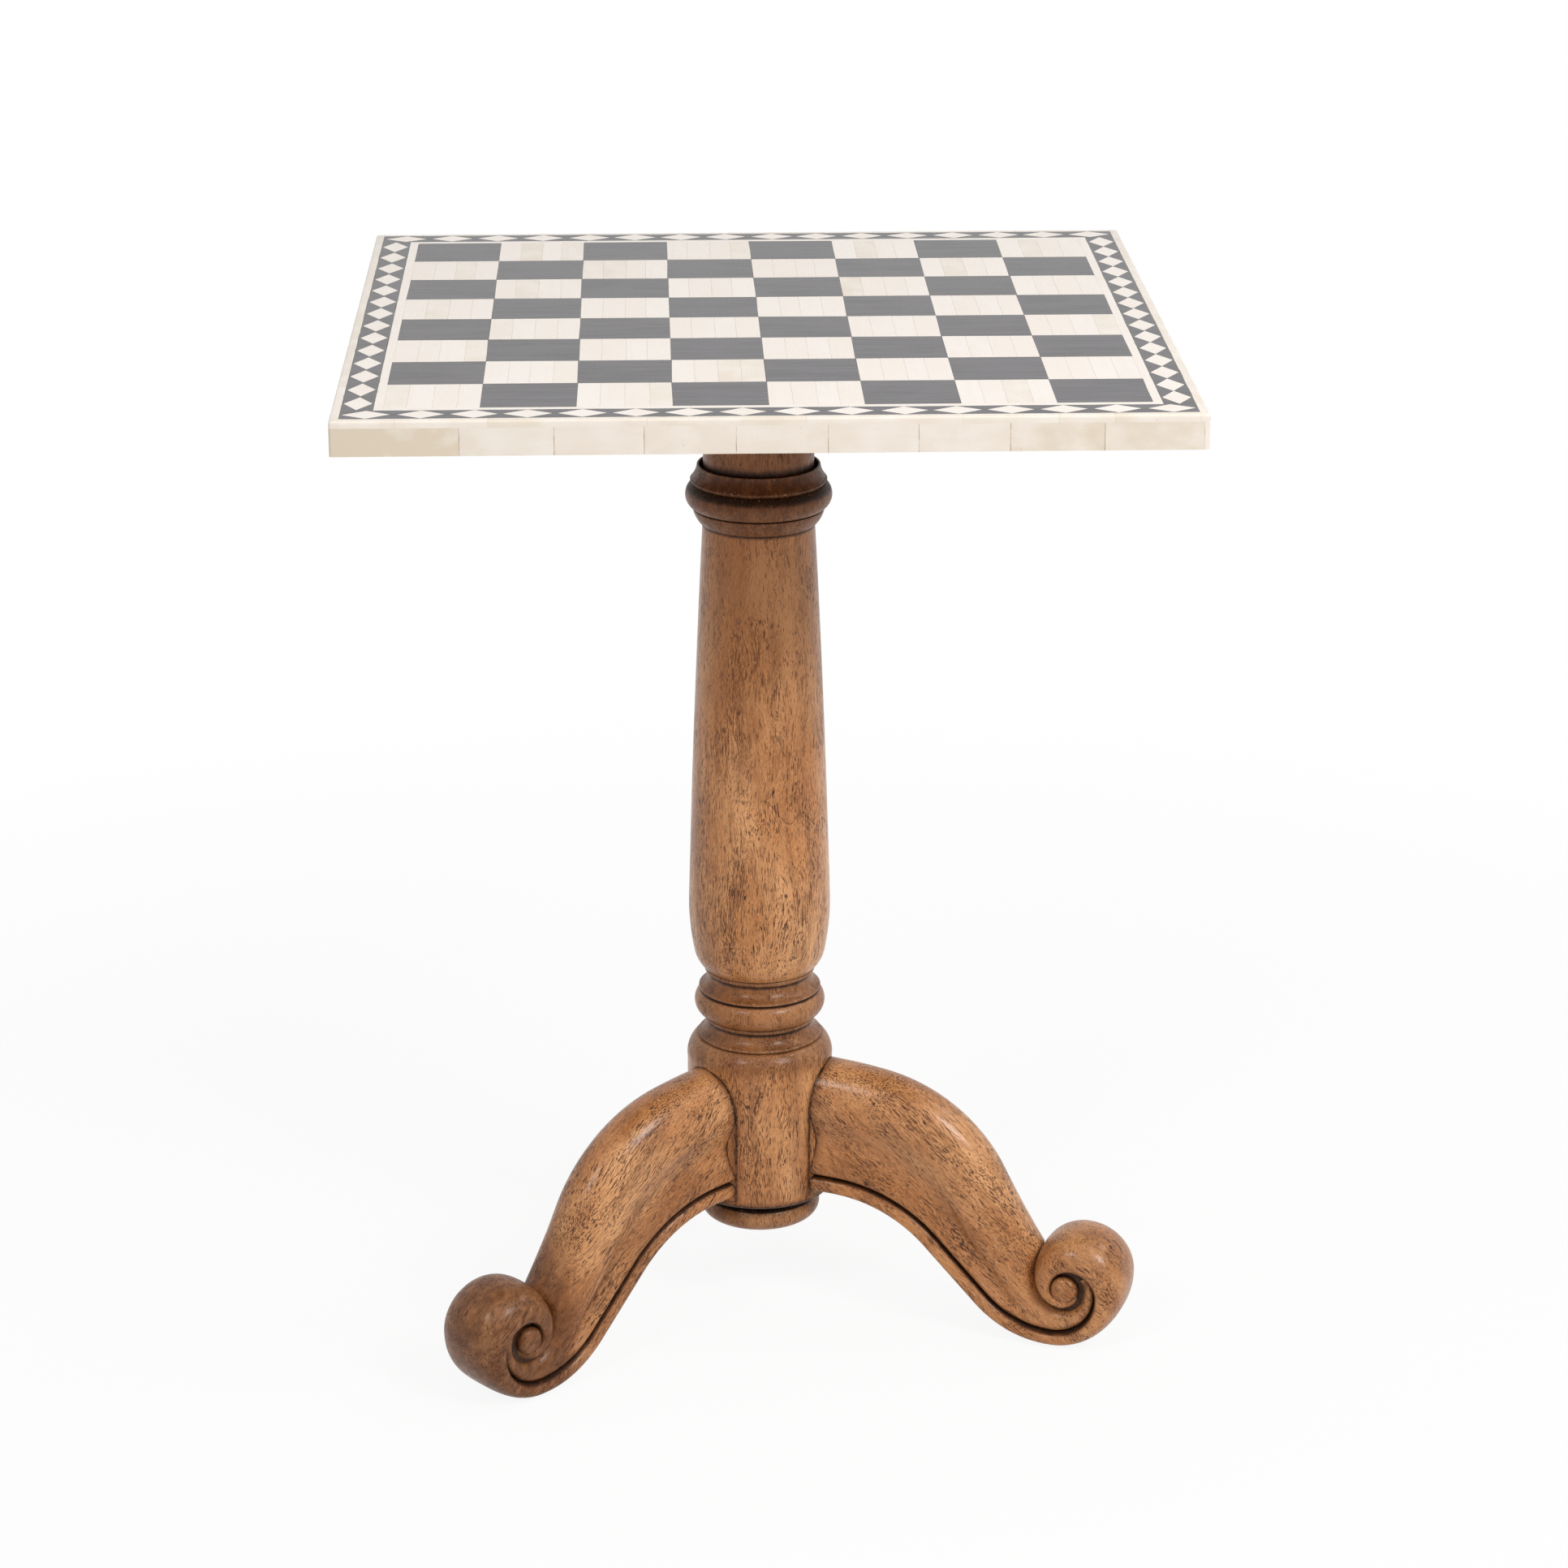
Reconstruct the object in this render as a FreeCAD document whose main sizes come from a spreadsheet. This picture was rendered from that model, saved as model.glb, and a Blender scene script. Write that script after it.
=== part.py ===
import FreeCAD, Part
import Sketcher
import math
import os

# Chess table: inlaid square top on a turned column with three scroll-footed legs.
# Millimetres, +Z up. The origin is on the floor under the column's axis.
# The front edge of the top faces -Y.

# Driving sizes in millimetres.
TOP = {
    "table_height": 610.0,
    "top_side": 457.2,
    "inlay_thickness": 4.0,
    "core_thickness": 15.0,
    "edge_tile_thickness": 2.8,
    "rim_rounding": 1.6,
    "outer_border_width": 5.0,
    "band_width": 17.0,
    "inner_border_width": 5.0,
    "long_band_margin": 0.4,
    "side_band_margin": 0.9,
}
UNDER_TOP = {
    "block_side": 150.0,
    "block_thickness": 24.0,
    "block_chamfer": 6.0,
    "screw_inset": 22.0,
    "screw_shank_radius": 2.4,
    "screw_head_radius": 4.8,
    "screw_head_depth": 3.2,
    "screw_bite": 10.0,
    "screw_point_length": 4.8,
    "rod_radius": 4.0,
    "rod_bore_radius": 5.0,
    "rod_end_gap": 1.0,
    "tee_flange_radius": 13.0,
    "tee_flange_thickness": 2.0,
    "tee_barrel_radius": 6.5,
    "tee_barrel_length": 9.0,
    "nut_across_corners_radius": 7.5,
    "nut_height": 6.5,
    "washer_radius": 12.0,
    "washer_thickness": 1.6,
    "thread_clearance": 0.05,
    "fit_clearance": 0.1,
}
COLUMN = {
    "neck_radius": 32.0,
    "neck_length": 53.4,
    "tenon_radius": 20.0,
    "neck_foot_tenon": 24.0,
    "tenon_end_gap": 1.0,
    "collar_height": 10.8,
    "collar_lip_height": 2.0,
    "collar_gap": 2.4,
    "collar_rim_wall": 1.1,
    "collar_flare": 4.1,
    "collar_undercut": 1.0,
    "capital_height": 14.0,
    "capital_swell": 3.8,
    "capital_groove_lip": 0.3,
    "capital_groove_depth": 1.3,
    "capital_groove_width": 1.0,
    "ogee_height": 10.6,
    "ogee_edge": 0.6,
    "ogee_overhang": 0.9,
    "shaft_top_radius": 32.5,
    "bulb_height": 42.0,
    "bulb_swell": 8.5,
    "bulb_edge": 1.8,
    "upper_bead_height": 3.0,
    "bead_swell": 2.4,
    "upper_cove_height": 10.4,
    "upper_cove_radius": 31.6,
    "cove_hollow": 0.8,
    "fillet_reach": 4.2,
    "fillet_edge": 1.2,
    "ring_height": 15.8,
    "ring_swell": 4.3,
    "ring_foot_step": 2.2,
    "ring_head_step": 0.4,
    "lower_bead_height": 3.2,
    "lower_bead_swell": 2.0,
    "lower_cove_height": 9.8,
    "lower_cove_radius": 32.4,
    "shaft_foot_tenon": 30.0,
    "hub_radius": 43.4,
    "hub_ledge": 1.4,
    "hub_height": 98.0,
    "hub_shoulder_height": 14.4,
    "hub_foot_height": 73.4,
    "hub_foot_rounding": 1.5,
    "hub_recess_radius": 16.0,
    "hub_recess_depth": 16.0,
    "cap_spigot_length": 5.0,
    "cap_neck_radius": 29.0,
    "cap_neck_length": 5.0,
    "cap_height": 13.8,
    "cap_shoulder": 4.2,
    "cap_swell": 2.8,
    "cap_foot_step": 1.5,
}
LEGS = {
    "leg_half_width": 21.0,
    "scroll_half_width": 25.0,
    "leg_top_drop": 8.4,
    "leg_foot_rise": 6.6,
    "root_overrun": 12.0,
    "crest_radius": 300.0,
    "back_radius": 106.0,
    "belly_radius": 85.0,
    "belly_lead": 9.0,
    "instep_radius": 68.0,
    "scroll_radius_heel": 43.0,
    "scroll_radius_front": 29.5,
    "scroll_radius_top": 27.5,
    "scroll_radius_back": 20.0,
    "scroll_radius_inner": 12.0,
    "band_thickness": 10.0,
    "groove_radius_heel": 25.5,
    "groove_radius_front": 15.0,
    "groove_radius_top": 10.5,
    "groove_radius_eye": 7.5,
    "groove_width": 2.6,
    "groove_depth": 3.0,
    "leg_rounding": 15.0,
    "band_rounding": 2.5,
    "scroll_rounding": 13.0,
    "leg_seat_clearance": 0.05,
    "dowel_radius": 5.0,
    "dowel_length": 50.0,
    "dowel_end_gap": 1.0,
    "dowel_foot_inset": 22.0,
    "dowel_top_inset": 25.0,
    "cut_overrun": 5.0,
    "edge_match": 0.05,
}
ANGLES = {
    "back_leg_angle": 93.0,
    "front_left_leg_angle": 220.0,
    "front_right_leg_angle": 340.0,
    "root_dip": 3.0,
    "crest_turn": 7.0,
    "back_turn": 54.0,
    "belly_turn": 43.0,
    "quarter_turn": 90.0,
    "groove_eye_turn": 60.0,
    "coil_start_turn": 55.0,
    "coil_inner_turn": 80.0,
}
COUNTS = {
    "board_ranks": 8,
    "slips_per_square": 4,
    "lozenges_front": 16,
    "lozenges_back": 16,
    "lozenges_left": 14,
    "lozenges_right": 15,
    "nut_sides": 6,
}

# How the bone strips of each run divide its length, from the left or from the back.
EDGE_TILE_SHARES = {
    "front": (0.152, 0.106, 0.106, 0.106, 0.106, 0.106, 0.106, 0.106, 0.106),
    "back": (0.111, 0.111, 0.112, 0.111, 0.111, 0.111, 0.111, 0.111, 0.111),
    "left": (0.13, 0.11, 0.10, 0.11, 0.12, 0.11, 0.10, 0.11, 0.11),
    "right": (0.10, 0.12, 0.11, 0.11, 0.11, 0.10, 0.12, 0.11, 0.12),
}
OUTER_BORDER_SHARES = {
    "front": (0.065, 0.108, 0.184, 0.184, 0.182, 0.112, 0.065, 0.10),
    "back": (0.12, 0.13, 0.12, 0.13, 0.12, 0.13, 0.12, 0.13),
    "left": (0.14, 0.17, 0.16, 0.17, 0.20, 0.16),
    "right": (0.18, 0.15, 0.17, 0.16, 0.19, 0.15),
}
INNER_BORDER_SHARES = {
    "front": (0.21, 0.19, 0.20, 0.22, 0.18),
    "back": (0.19, 0.21, 0.20, 0.19, 0.21),
    "left": (0.12, 0.15, 0.13, 0.14, 0.16, 0.14, 0.16),
    "right": (0.15, 0.13, 0.14, 0.15, 0.14, 0.15, 0.14),
}
SIDES = ("front", "back", "left", "right")
LEG_NAMES = ("back", "front_left", "front_right")
# Length of a lozenge as a share of its pitch in the band.
LOZENGE_LENGTH_SHARES = {"front": 0.895, "back": 0.895, "left": 0.915, "right": 0.98}
# Where a curve of the column passes, as shares of its rise and of its change of radius.
COVE_THROAT_SHARE = 0.55
COLLAR_WAIST_SHARES = (0.42, 0.634)
OGEE_SHOULDER_SHARES = (0.585, 0.75)
SHAFT_MIDDLE_SHARES = (0.504, 0.4255)
BULB_SHOULDER_SHARES = (0.31, 0.765)
FULL_TURN = 360.0


class Dim:
    """A length that carries both its value and the expression that binds it to the sheet."""

    def __init__(self, value, text):
        self.value = value
        self.text = text

    def joined(self, other, sign, value):
        return Dim(value, f"({self.text} {sign} {as_dim(other).text})")

    def __add__(self, other):
        return self.joined(other, "+", self.value + as_dim(other).value)

    def __sub__(self, other):
        return self.joined(other, "-", self.value - as_dim(other).value)

    def __mul__(self, other):
        return self.joined(other, "*", self.value * as_dim(other).value)

    def __truediv__(self, other):
        return self.joined(other, "/", self.value / as_dim(other).value)

    def __neg__(self):
        return Dim(-self.value, f"(-{self.text})")

    def root(self):
        return Dim(math.sqrt(self.value), f"sqrt({self.text})")


def as_dim(length):
    return length if isinstance(length, Dim) else Dim(float(length), repr(float(length)))


doc = FreeCAD.newDocument("ChessTable")
sheet = doc.addObject("Spreadsheet::Sheet", "Sizes")
row = 0
for group in (TOP, UNDER_TOP, COLUMN, LEGS, ANGLES, COUNTS):
    for alias, value in group.items():
        row += 1
        sheet.set(f"A{row}", alias)
        sheet.set(f"B{row}", str(value))
        sheet.setAlias(f"B{row}", alias)
doc.recompute()


def size(alias):
    return Dim(float(sheet.get(alias)), f"Sizes.{alias}")


def count(alias):
    return int(sheet.get(alias))


ZERO = as_dim(0)
nodes = []


def bind(obj, **dims):
    for prop, value in dims.items():
        obj.setExpression(prop.replace("__", "."), as_dim(value).text)


def sub_part(obj, label):
    obj.Label = label
    nodes.append(obj)
    return obj


# Plain solids and groups of them.

def box(name, corner, extent):
    obj = doc.addObject("Part::Box", name)
    bind(obj, Length=extent[0], Width=extent[1], Height=extent[2])
    bind(obj, Placement__Base__x=corner[0], Placement__Base__y=corner[1], Placement__Base__z=corner[2])
    return obj


def cylinder(name, radius, foot, height):
    obj = doc.addObject("Part::Cylinder", name)
    bind(obj, Radius=radius, Height=height)
    bind(obj, Placement__Base__x=foot[0], Placement__Base__y=foot[1], Placement__Base__z=foot[2])
    return obj


def cone(name, foot_radius, head_radius, foot, height):
    obj = doc.addObject("Part::Cone", name)
    bind(obj, Radius1=foot_radius, Radius2=head_radius, Height=height)
    bind(obj, Placement__Base__x=foot[0], Placement__Base__y=foot[1], Placement__Base__z=foot[2])
    return obj


def cut(name, base, tool):
    obj = doc.addObject("Part::Cut", name)
    obj.Base = base
    obj.Tool = tool
    return obj


def fuse(name, pieces):
    obj = doc.addObject("Part::MultiFuse", name)
    obj.Shapes = pieces
    return obj


def group_of(label, pieces):
    obj = doc.addObject("Part::Compound", label)
    obj.Links = pieces
    return sub_part(obj, label)


# Sketched bodies.

def new_body(label):
    body = doc.addObject("PartDesign::Body", label)
    return sub_part(body, label)


def new_sketch(body, name, role):
    sketch = body.newObject("Sketcher::SketchObject", name)
    plane = [item for item in body.Origin.OriginFeatures if item.Role == role][0]
    sketch.AttachmentSupport = (plane, [""])
    sketch.MapMode = "FlatFace"
    return sketch


def arc_through(start, middle, end):
    """The arc by three points, always anticlockwise, and whether it had to be turned round."""
    (ax, ay), (bx, by), (cx, cy) = start, middle, end
    turn = (bx - ax) * (cy - by) - (by - ay) * (cx - bx)
    double = 2 * (ax * (by - cy) + bx * (cy - ay) + cx * (ay - by))
    a2, b2, c2 = ax * ax + ay * ay, bx * bx + by * by, cx * cx + cy * cy
    x = (a2 * (by - cy) + b2 * (cy - ay) + c2 * (ay - by)) / double
    y = (a2 * (cx - bx) + b2 * (ax - cx) + c2 * (bx - ax)) / double
    radius = math.hypot(ax - x, ay - y)
    first = math.atan2(ay - y, ax - x)
    last = math.atan2(cy - y, cx - x)
    if turn < 0:
        first, last = last, first
    if last < first:
        last += 2 * math.pi
    circle = Part.Circle(FreeCAD.Vector(x, y, 0), FreeCAD.Vector(0, 0, 1), radius)
    return Part.ArcOfCircle(circle, first, last), turn < 0


def closed_outline(sketch, steps):
    """Draw a closed outline of steps: (x, y) for a line, (x, y, x_on_arc, y_on_arc) for an arc to (x, y)."""
    geometry = []
    ends = []
    on_arc = []
    corners = [(step[0], step[1]) for step in steps]
    for index, step in enumerate(steps):
        start = tuple(value.value for value in corners[index - 1])
        end = tuple(value.value for value in corners[index])
        if len(step) == 2:
            geometry.append(Part.LineSegment(FreeCAD.Vector(*start, 0), FreeCAD.Vector(*end, 0)))
            ends.append((1, 2))
        else:
            arc, reversed_arc = arc_through(start, (step[2].value, step[3].value), end)
            geometry.append(arc)
            ends.append((2, 1) if reversed_arc else (1, 2))
            on_arc.append((index, step[2], step[3]))
    sketch.addGeometry(geometry, False)
    rules = []
    bindings = []

    def place(curve, point, x, y):
        for kind, value, axis in (("DistanceX", x, -2), ("DistanceY", y, -1)):
            if value.value == 0:
                rules.append(Sketcher.Constraint("PointOnObject", curve, point, axis))
            else:
                bindings.append((len(rules), value.text))
                rules.append(Sketcher.Constraint(kind, -1, 1, curve, point, value.value))

    for index in range(len(steps)):
        following = (index + 1) % len(steps)
        rules.append(Sketcher.Constraint("Coincident", index, ends[index][1], following, ends[following][0]))
        place(index, ends[index][1], *corners[index])
    for index, x, y in on_arc:
        point = sketch.addGeometry(Part.Point(FreeCAD.Vector(x.value, y.value, 0)), True)
        rules.append(Sketcher.Constraint("PointOnObject", point, 1, index))
        place(point, 1, x, y)
    sketch.addConstraint(rules)
    for index, text in bindings:
        sketch.setExpression(f"Constraints[{index}]", text)


def upright_arc(start, end):
    """The middle of an arc that leaves its start straight up and leans in to its end."""
    inward = start[0] - end[0]
    upward = end[1] - start[1]
    chord = (inward * inward + upward * upward).root()
    sagitta = chord * chord / (inward * 2) * (as_dim(1) - upward / chord)
    middle_x = (start[0] + end[0]) / 2
    middle_y = (start[1] + end[1]) / 2
    return middle_x + sagitta * upward / chord, middle_y + sagitta * inward / chord


def rectangle(sketch, low_x, low_y, high_x, high_y):
    closed_outline(sketch, [(low_x, low_y), (high_x, low_y), (high_x, high_y), (low_x, high_y)])


def turned(label, steps):
    """A body turned about the Z axis from an outline of (radius, height) steps."""
    body = new_body(label)
    sketch = new_sketch(body, label + "_profile", "XZ_Plane")
    closed_outline(sketch, steps)
    revolution = body.newObject("PartDesign::Revolution", label + "_turning")
    revolution.Profile = sketch
    revolution.ReferenceAxis = (sketch, ["V_Axis"])
    revolution.Angle = FULL_TURN
    sketch.Visibility = False
    return body


# Heights and half widths that several pieces share.
half_top = size("top_side") / 2
half_band = half_top - size("outer_border_width")
half_inner = half_band - size("band_width")
half_board = half_inner - size("inner_border_width")
square_side = half_board * 2 / size("board_ranks")
half_core = half_top - size("edge_tile_thickness")
top_z = size("table_height")
inlay_z = top_z - size("inlay_thickness")
core_z = inlay_z - size("core_thickness")
block_z = core_z - size("block_thickness")
fit = size("fit_clearance")


def run_frame(side, half_length, inner, outer):
    """Corner and extent maker for a run of strips on one side of the top, between two half widths."""
    def strip(start, length):
        if side == "front":
            return (start - half_length, -outer), (length, outer - inner)
        if side == "back":
            return (start - half_length, inner), (length, outer - inner)
        if side == "left":
            return (-outer, half_length - start - length), (outer - inner, length)
        return (inner, half_length - start - length), (outer - inner, length)
    return strip


def strips(label, side, shares, half_length, inner, outer, low, height):
    strip = run_frame(side, half_length, inner, outer)
    pieces = []
    start = ZERO
    for index, share in enumerate(shares):
        length = half_length * 2 * (share / sum(shares))
        corner, extent = strip(start, length)
        pieces.append(box(f"{label}_{index + 1}", (*corner, low), (*extent, height)))
        start = start + length
    return pieces


# Inlaid top.

def make_core():
    body = new_body("top_core")
    sketch = new_sketch(body, "top_core_outline", "XY_Plane")
    rectangle(sketch, -half_core, -half_core, half_core, half_core)
    pad = body.newObject("PartDesign::Pad", "top_core_panel")
    pad.Profile = sketch
    bind(pad, Length=size("core_thickness"))
    bind(body, Placement__Base__z=core_z)
    return body


def make_board():
    """One node of dark squares and one of light slips for each rank, counted from the back."""
    ranks = count("board_ranks")
    slips = count("slips_per_square")
    side = square_side
    slip = side / slips
    for rank in range(ranks):
        low_y = half_board - side * (rank + 1)
        dark = []
        light = []
        for file in range(ranks):
            low_x = side * file - half_board
            name = f"rank_{rank + 1}_file_{file + 1}"
            if (rank + file) % 2 == 0:
                dark.append(box(name, (low_x, low_y, inlay_z), (side, side, size("inlay_thickness"))))
                continue
            for index in range(slips):
                corner = (low_x + slip * index, low_y, inlay_z)
                light.append(box(f"{name}_slip_{index + 1}", corner, (slip, side, size("inlay_thickness"))))
        group_of(f"rank_{rank + 1}_dark_squares", dark)
        group_of(f"rank_{rank + 1}_light_slips", light)


def make_inner_border(side):
    half_length = half_inner if side in ("front", "back") else half_board
    label = f"inner_border_{side}"
    group_of(label, strips(label, side, INNER_BORDER_SHARES[side], half_length, half_board, half_inner,
                           inlay_z, size("inlay_thickness")))


def band_layout(side):
    """Length of a band, its lozenges' pitch, length and width, and how far out its middle lies."""
    middle = (half_inner + half_band) / 2
    if side in ("front", "back"):
        length = half_band * 2
        margin = size("long_band_margin")
    else:
        length = half_inner * 2
        margin = size("side_band_margin")
    pitch = length / size(f"lozenges_{side}")
    return length, pitch, pitch * LOZENGE_LENGTH_SHARES[side], size("band_width") - margin * 2, middle


def lozenge_corners(centre, length, width):
    half_length = length / 2
    half_width = width / 2
    left = centre - half_length
    right = centre + half_length
    return [(left, ZERO), (centre, -half_width), (right, ZERO), (centre, half_width)]


BAND_TURN = {"front": 0, "right": 90, "back": 180, "left": 270}


def make_band(side):
    """A dark band lying along X in its own frame, with lozenge openings in a row, turned to its side."""
    length, pitch, lozenge_length, lozenge_width, middle = band_layout(side)
    label = f"diamond_band_{side}"
    body = new_body(label)
    outline = new_sketch(body, label + "_outline", "XY_Plane")
    half_width = size("band_width") / 2
    rectangle(outline, -length / 2, -half_width, length / 2, half_width)
    pad = body.newObject("PartDesign::Pad", label + "_strip")
    pad.Profile = outline
    bind(pad, Length=size("inlay_thickness"))
    opening = new_sketch(body, label + "_lozenge", "XY_Plane")
    first = pitch / 2 - length / 2
    closed_outline(opening, lozenge_corners(first, lozenge_length, lozenge_width))
    pocket = body.newObject("PartDesign::Pocket", label + "_opening")
    pocket.Profile = opening
    pocket.Type = "ThroughAll"
    pocket.Reversed = True
    pattern = body.newObject("PartDesign::LinearPattern", label + "_row")
    pattern.Originals = [pocket]
    pattern.Direction = (opening, ["H_Axis"])
    bind(pattern, Length=length - pitch, Occurrences=size(f"lozenges_{side}"))
    body.Tip = pattern
    turn_to_side(body, side, middle)


def turn_to_side(obj, side, middle):
    """Turn a piece laid along X so that its row lies on one side of the top, at the inlay's height."""
    obj.Placement.Rotation = FreeCAD.Rotation(FreeCAD.Vector(0, 0, 1), BAND_TURN[side])
    offsets = {
        "front": (ZERO, -middle),
        "back": (ZERO, middle),
        "left": (-middle, ZERO),
        "right": (middle, ZERO),
    }
    x, y = offsets[side]
    bind(obj, Placement__Base__x=x, Placement__Base__y=y, Placement__Base__z=inlay_z)


def make_lozenges(side):
    """Bone lozenges that fill the openings of one band."""
    length, pitch, lozenge_length, lozenge_width, middle = band_layout(side)
    label = f"band_lozenges_{side}"
    solids = []
    for index in range(count(f"lozenges_{side}")):
        centre = pitch * (index + 0.5) - length / 2
        corners = [FreeCAD.Vector(x.value, y.value, 0) for x, y in
                   lozenge_corners(centre, lozenge_length, lozenge_width)]
        face = Part.Face(Part.makePolygon(corners + corners[:1]))
        solids.append(face.extrude(FreeCAD.Vector(0, 0, size("inlay_thickness").value)))
    obj = doc.addObject("Part::Feature", label)
    obj.Shape = Part.Compound(solids)
    sub_part(obj, label)
    turn_to_side(obj, side, middle)


def make_outer_border(side):
    """Rim strips over the edge tiles, with an eased outer edge. The side runs keep the corners."""
    half_length = half_band if side in ("front", "back") else half_top
    label = f"outer_border_{side}"
    blanks = strips(label, side, OUTER_BORDER_SHARES[side], half_length, half_band, half_top,
                    inlay_z, size("inlay_thickness"))
    doc.recompute()
    eased = []
    for blank in blanks:
        rim = doc.addObject("Part::Fillet", blank.Name + "_eased")
        rim.Base = blank
        radius = size("rim_rounding").value
        rim.Edges = [(number, radius, radius) for number in rim_edges(blank.Shape)]
        eased.append(rim)
    group_of(label, eased)


def rim_edges(shape):
    """Numbers of the upper edges of a strip that lie on the outline of the top."""
    found = []
    for number, edge in enumerate(shape.Edges, 1):
        ends = [vertex.Point for vertex in edge.Vertexes]
        on_top = all(abs(point.z - top_z.value) < Part.Precision.confusion() for point in ends)
        on_x = all(math.isclose(abs(point.x), half_top.value) for point in ends) and ends[0].x == ends[1].x
        on_y = all(math.isclose(abs(point.y), half_top.value) for point in ends) and ends[0].y == ends[1].y
        if on_top and (on_x or on_y):
            found.append(number)
    return found


def make_edge_tiles(side):
    half_length = half_core if side in ("front", "back") else half_top
    label = f"edge_tiles_{side}"
    group_of(label, strips(label, side, EDGE_TILE_SHARES[side], half_length, half_core, half_top,
                           core_z, size("core_thickness")))


# Block under the top and the fastenings.

screw_places = [(x, y) for x in (-1, 1) for y in (-1, 1)]
screw_reach = size("block_side") / 2 - size("screw_inset")
tee_foot_z = core_z - size("tee_flange_thickness") - size("tee_barrel_length")
neck_head_z = tee_foot_z - size("tenon_end_gap") * 2


def make_mounting_block():
    """Block with a socket for the neck's tenon, a seat for the tee nut and four countersunk screw holes."""
    side = size("block_side")
    blank = box("block_blank", (-side / 2, -side / 2, block_z), (side, side, size("block_thickness")))
    doc.recompute()
    eased = doc.addObject("Part::Chamfer", "block_eased")
    eased.Base = blank
    chamfer = size("block_chamfer").value
    lower_rim = [number for number, edge in enumerate(blank.Shape.Edges, 1)
                 if math.isclose(edge.BoundBox.ZMax, block_z.value)]
    eased.Edges = [(number, chamfer, chamfer) for number in lower_rim]
    under = block_z - size("cut_overrun")
    over = core_z + size("cut_overrun")
    socket_top = neck_head_z + size("tenon_end_gap")
    flange_z = core_z - size("tee_flange_thickness")
    cutters = [
        cylinder("block_socket", size("tenon_radius") + fit, (ZERO, ZERO, under), socket_top - under),
        cylinder("block_bore", size("tee_barrel_radius") + fit, (ZERO, ZERO, under), over - under),
        cylinder("block_flange_seat", size("tee_flange_radius") + fit, (ZERO, ZERO, flange_z),
                 over - flange_z),
    ]
    for index, (sign_x, sign_y) in enumerate(screw_places, 1):
        foot = (screw_reach * sign_x, screw_reach * sign_y, block_z)
        shank = size("screw_shank_radius") + fit
        head = size("screw_head_radius") + fit
        cutters.append(cylinder(f"block_screw_bore_{index}", shank, foot, over - block_z))
        cutters.append(cone(f"block_countersink_{index}", head, shank, foot, size("screw_head_depth")))
    sub_part(cut("mounting_block", eased, fuse("block_cutters", cutters)), "mounting_block")


def make_screws():
    """Countersunk wood screws up through the block into the core."""
    screws = []
    straight = size("block_thickness") + size("screw_bite") - size("screw_point_length")
    for index, (sign_x, sign_y) in enumerate(screw_places, 1):
        foot = (screw_reach * sign_x, screw_reach * sign_y, block_z)
        head = cone(f"screw_head_{index}", size("screw_head_radius"), size("screw_shank_radius"), foot,
                    size("screw_head_depth"))
        shank = cylinder(f"screw_shank_{index}", size("screw_shank_radius"), foot, straight)
        point = cone(f"screw_point_{index}", size("screw_shank_radius"), ZERO,
                     (foot[0], foot[1], foot[2] + straight), size("screw_point_length"))
        screws.append(fuse(f"block_screw_{index}", [head, shank, point]))
    group_of("block_screws", screws)


def drill_core_for_screws(core):
    """Pilot holes in the core that the screws fill."""
    sketch = new_sketch(core, "top_core_pilot", "XY_Plane")
    radius = size("screw_shank_radius")
    centre = FreeCAD.Vector(screw_reach.value, screw_reach.value, 0)
    sketch.addGeometry(Part.Circle(centre, FreeCAD.Vector(0, 0, 1), radius.value), False)
    sketch.addConstraint([Sketcher.Constraint("DistanceX", -1, 1, 0, 3, screw_reach.value),
                          Sketcher.Constraint("DistanceY", -1, 1, 0, 3, screw_reach.value),
                          Sketcher.Constraint("Radius", 0, radius.value)])
    for index, value in enumerate((screw_reach, screw_reach, radius + fit)):
        sketch.setExpression(f"Constraints[{index}]", value.text)
    pilot = core.newObject("PartDesign::Pocket", "top_core_pilots")
    pilot.Profile = sketch
    pilot.Reversed = True
    bind(pilot, Length=size("screw_bite") + fit)
    doc.recompute()
    pattern = core.newObject("PartDesign::PolarPattern", "top_core_pilot_ring")
    pattern.Originals = [pilot]
    pattern.Axis = (sketch, ["N_Axis"])
    pattern.Angle = FULL_TURN
    pattern.Occurrences = len(screw_places)
    core.Tip = pattern


recess_top_z = size("hub_foot_height") + size("hub_recess_depth")
leg_top_z = size("hub_foot_height") + size("hub_height") - size("leg_top_drop")
leg_foot_z = size("hub_foot_height") + size("leg_foot_rise")
dowel_heights = (leg_foot_z + size("dowel_foot_inset"), leg_top_z - size("dowel_top_inset"))


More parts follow.
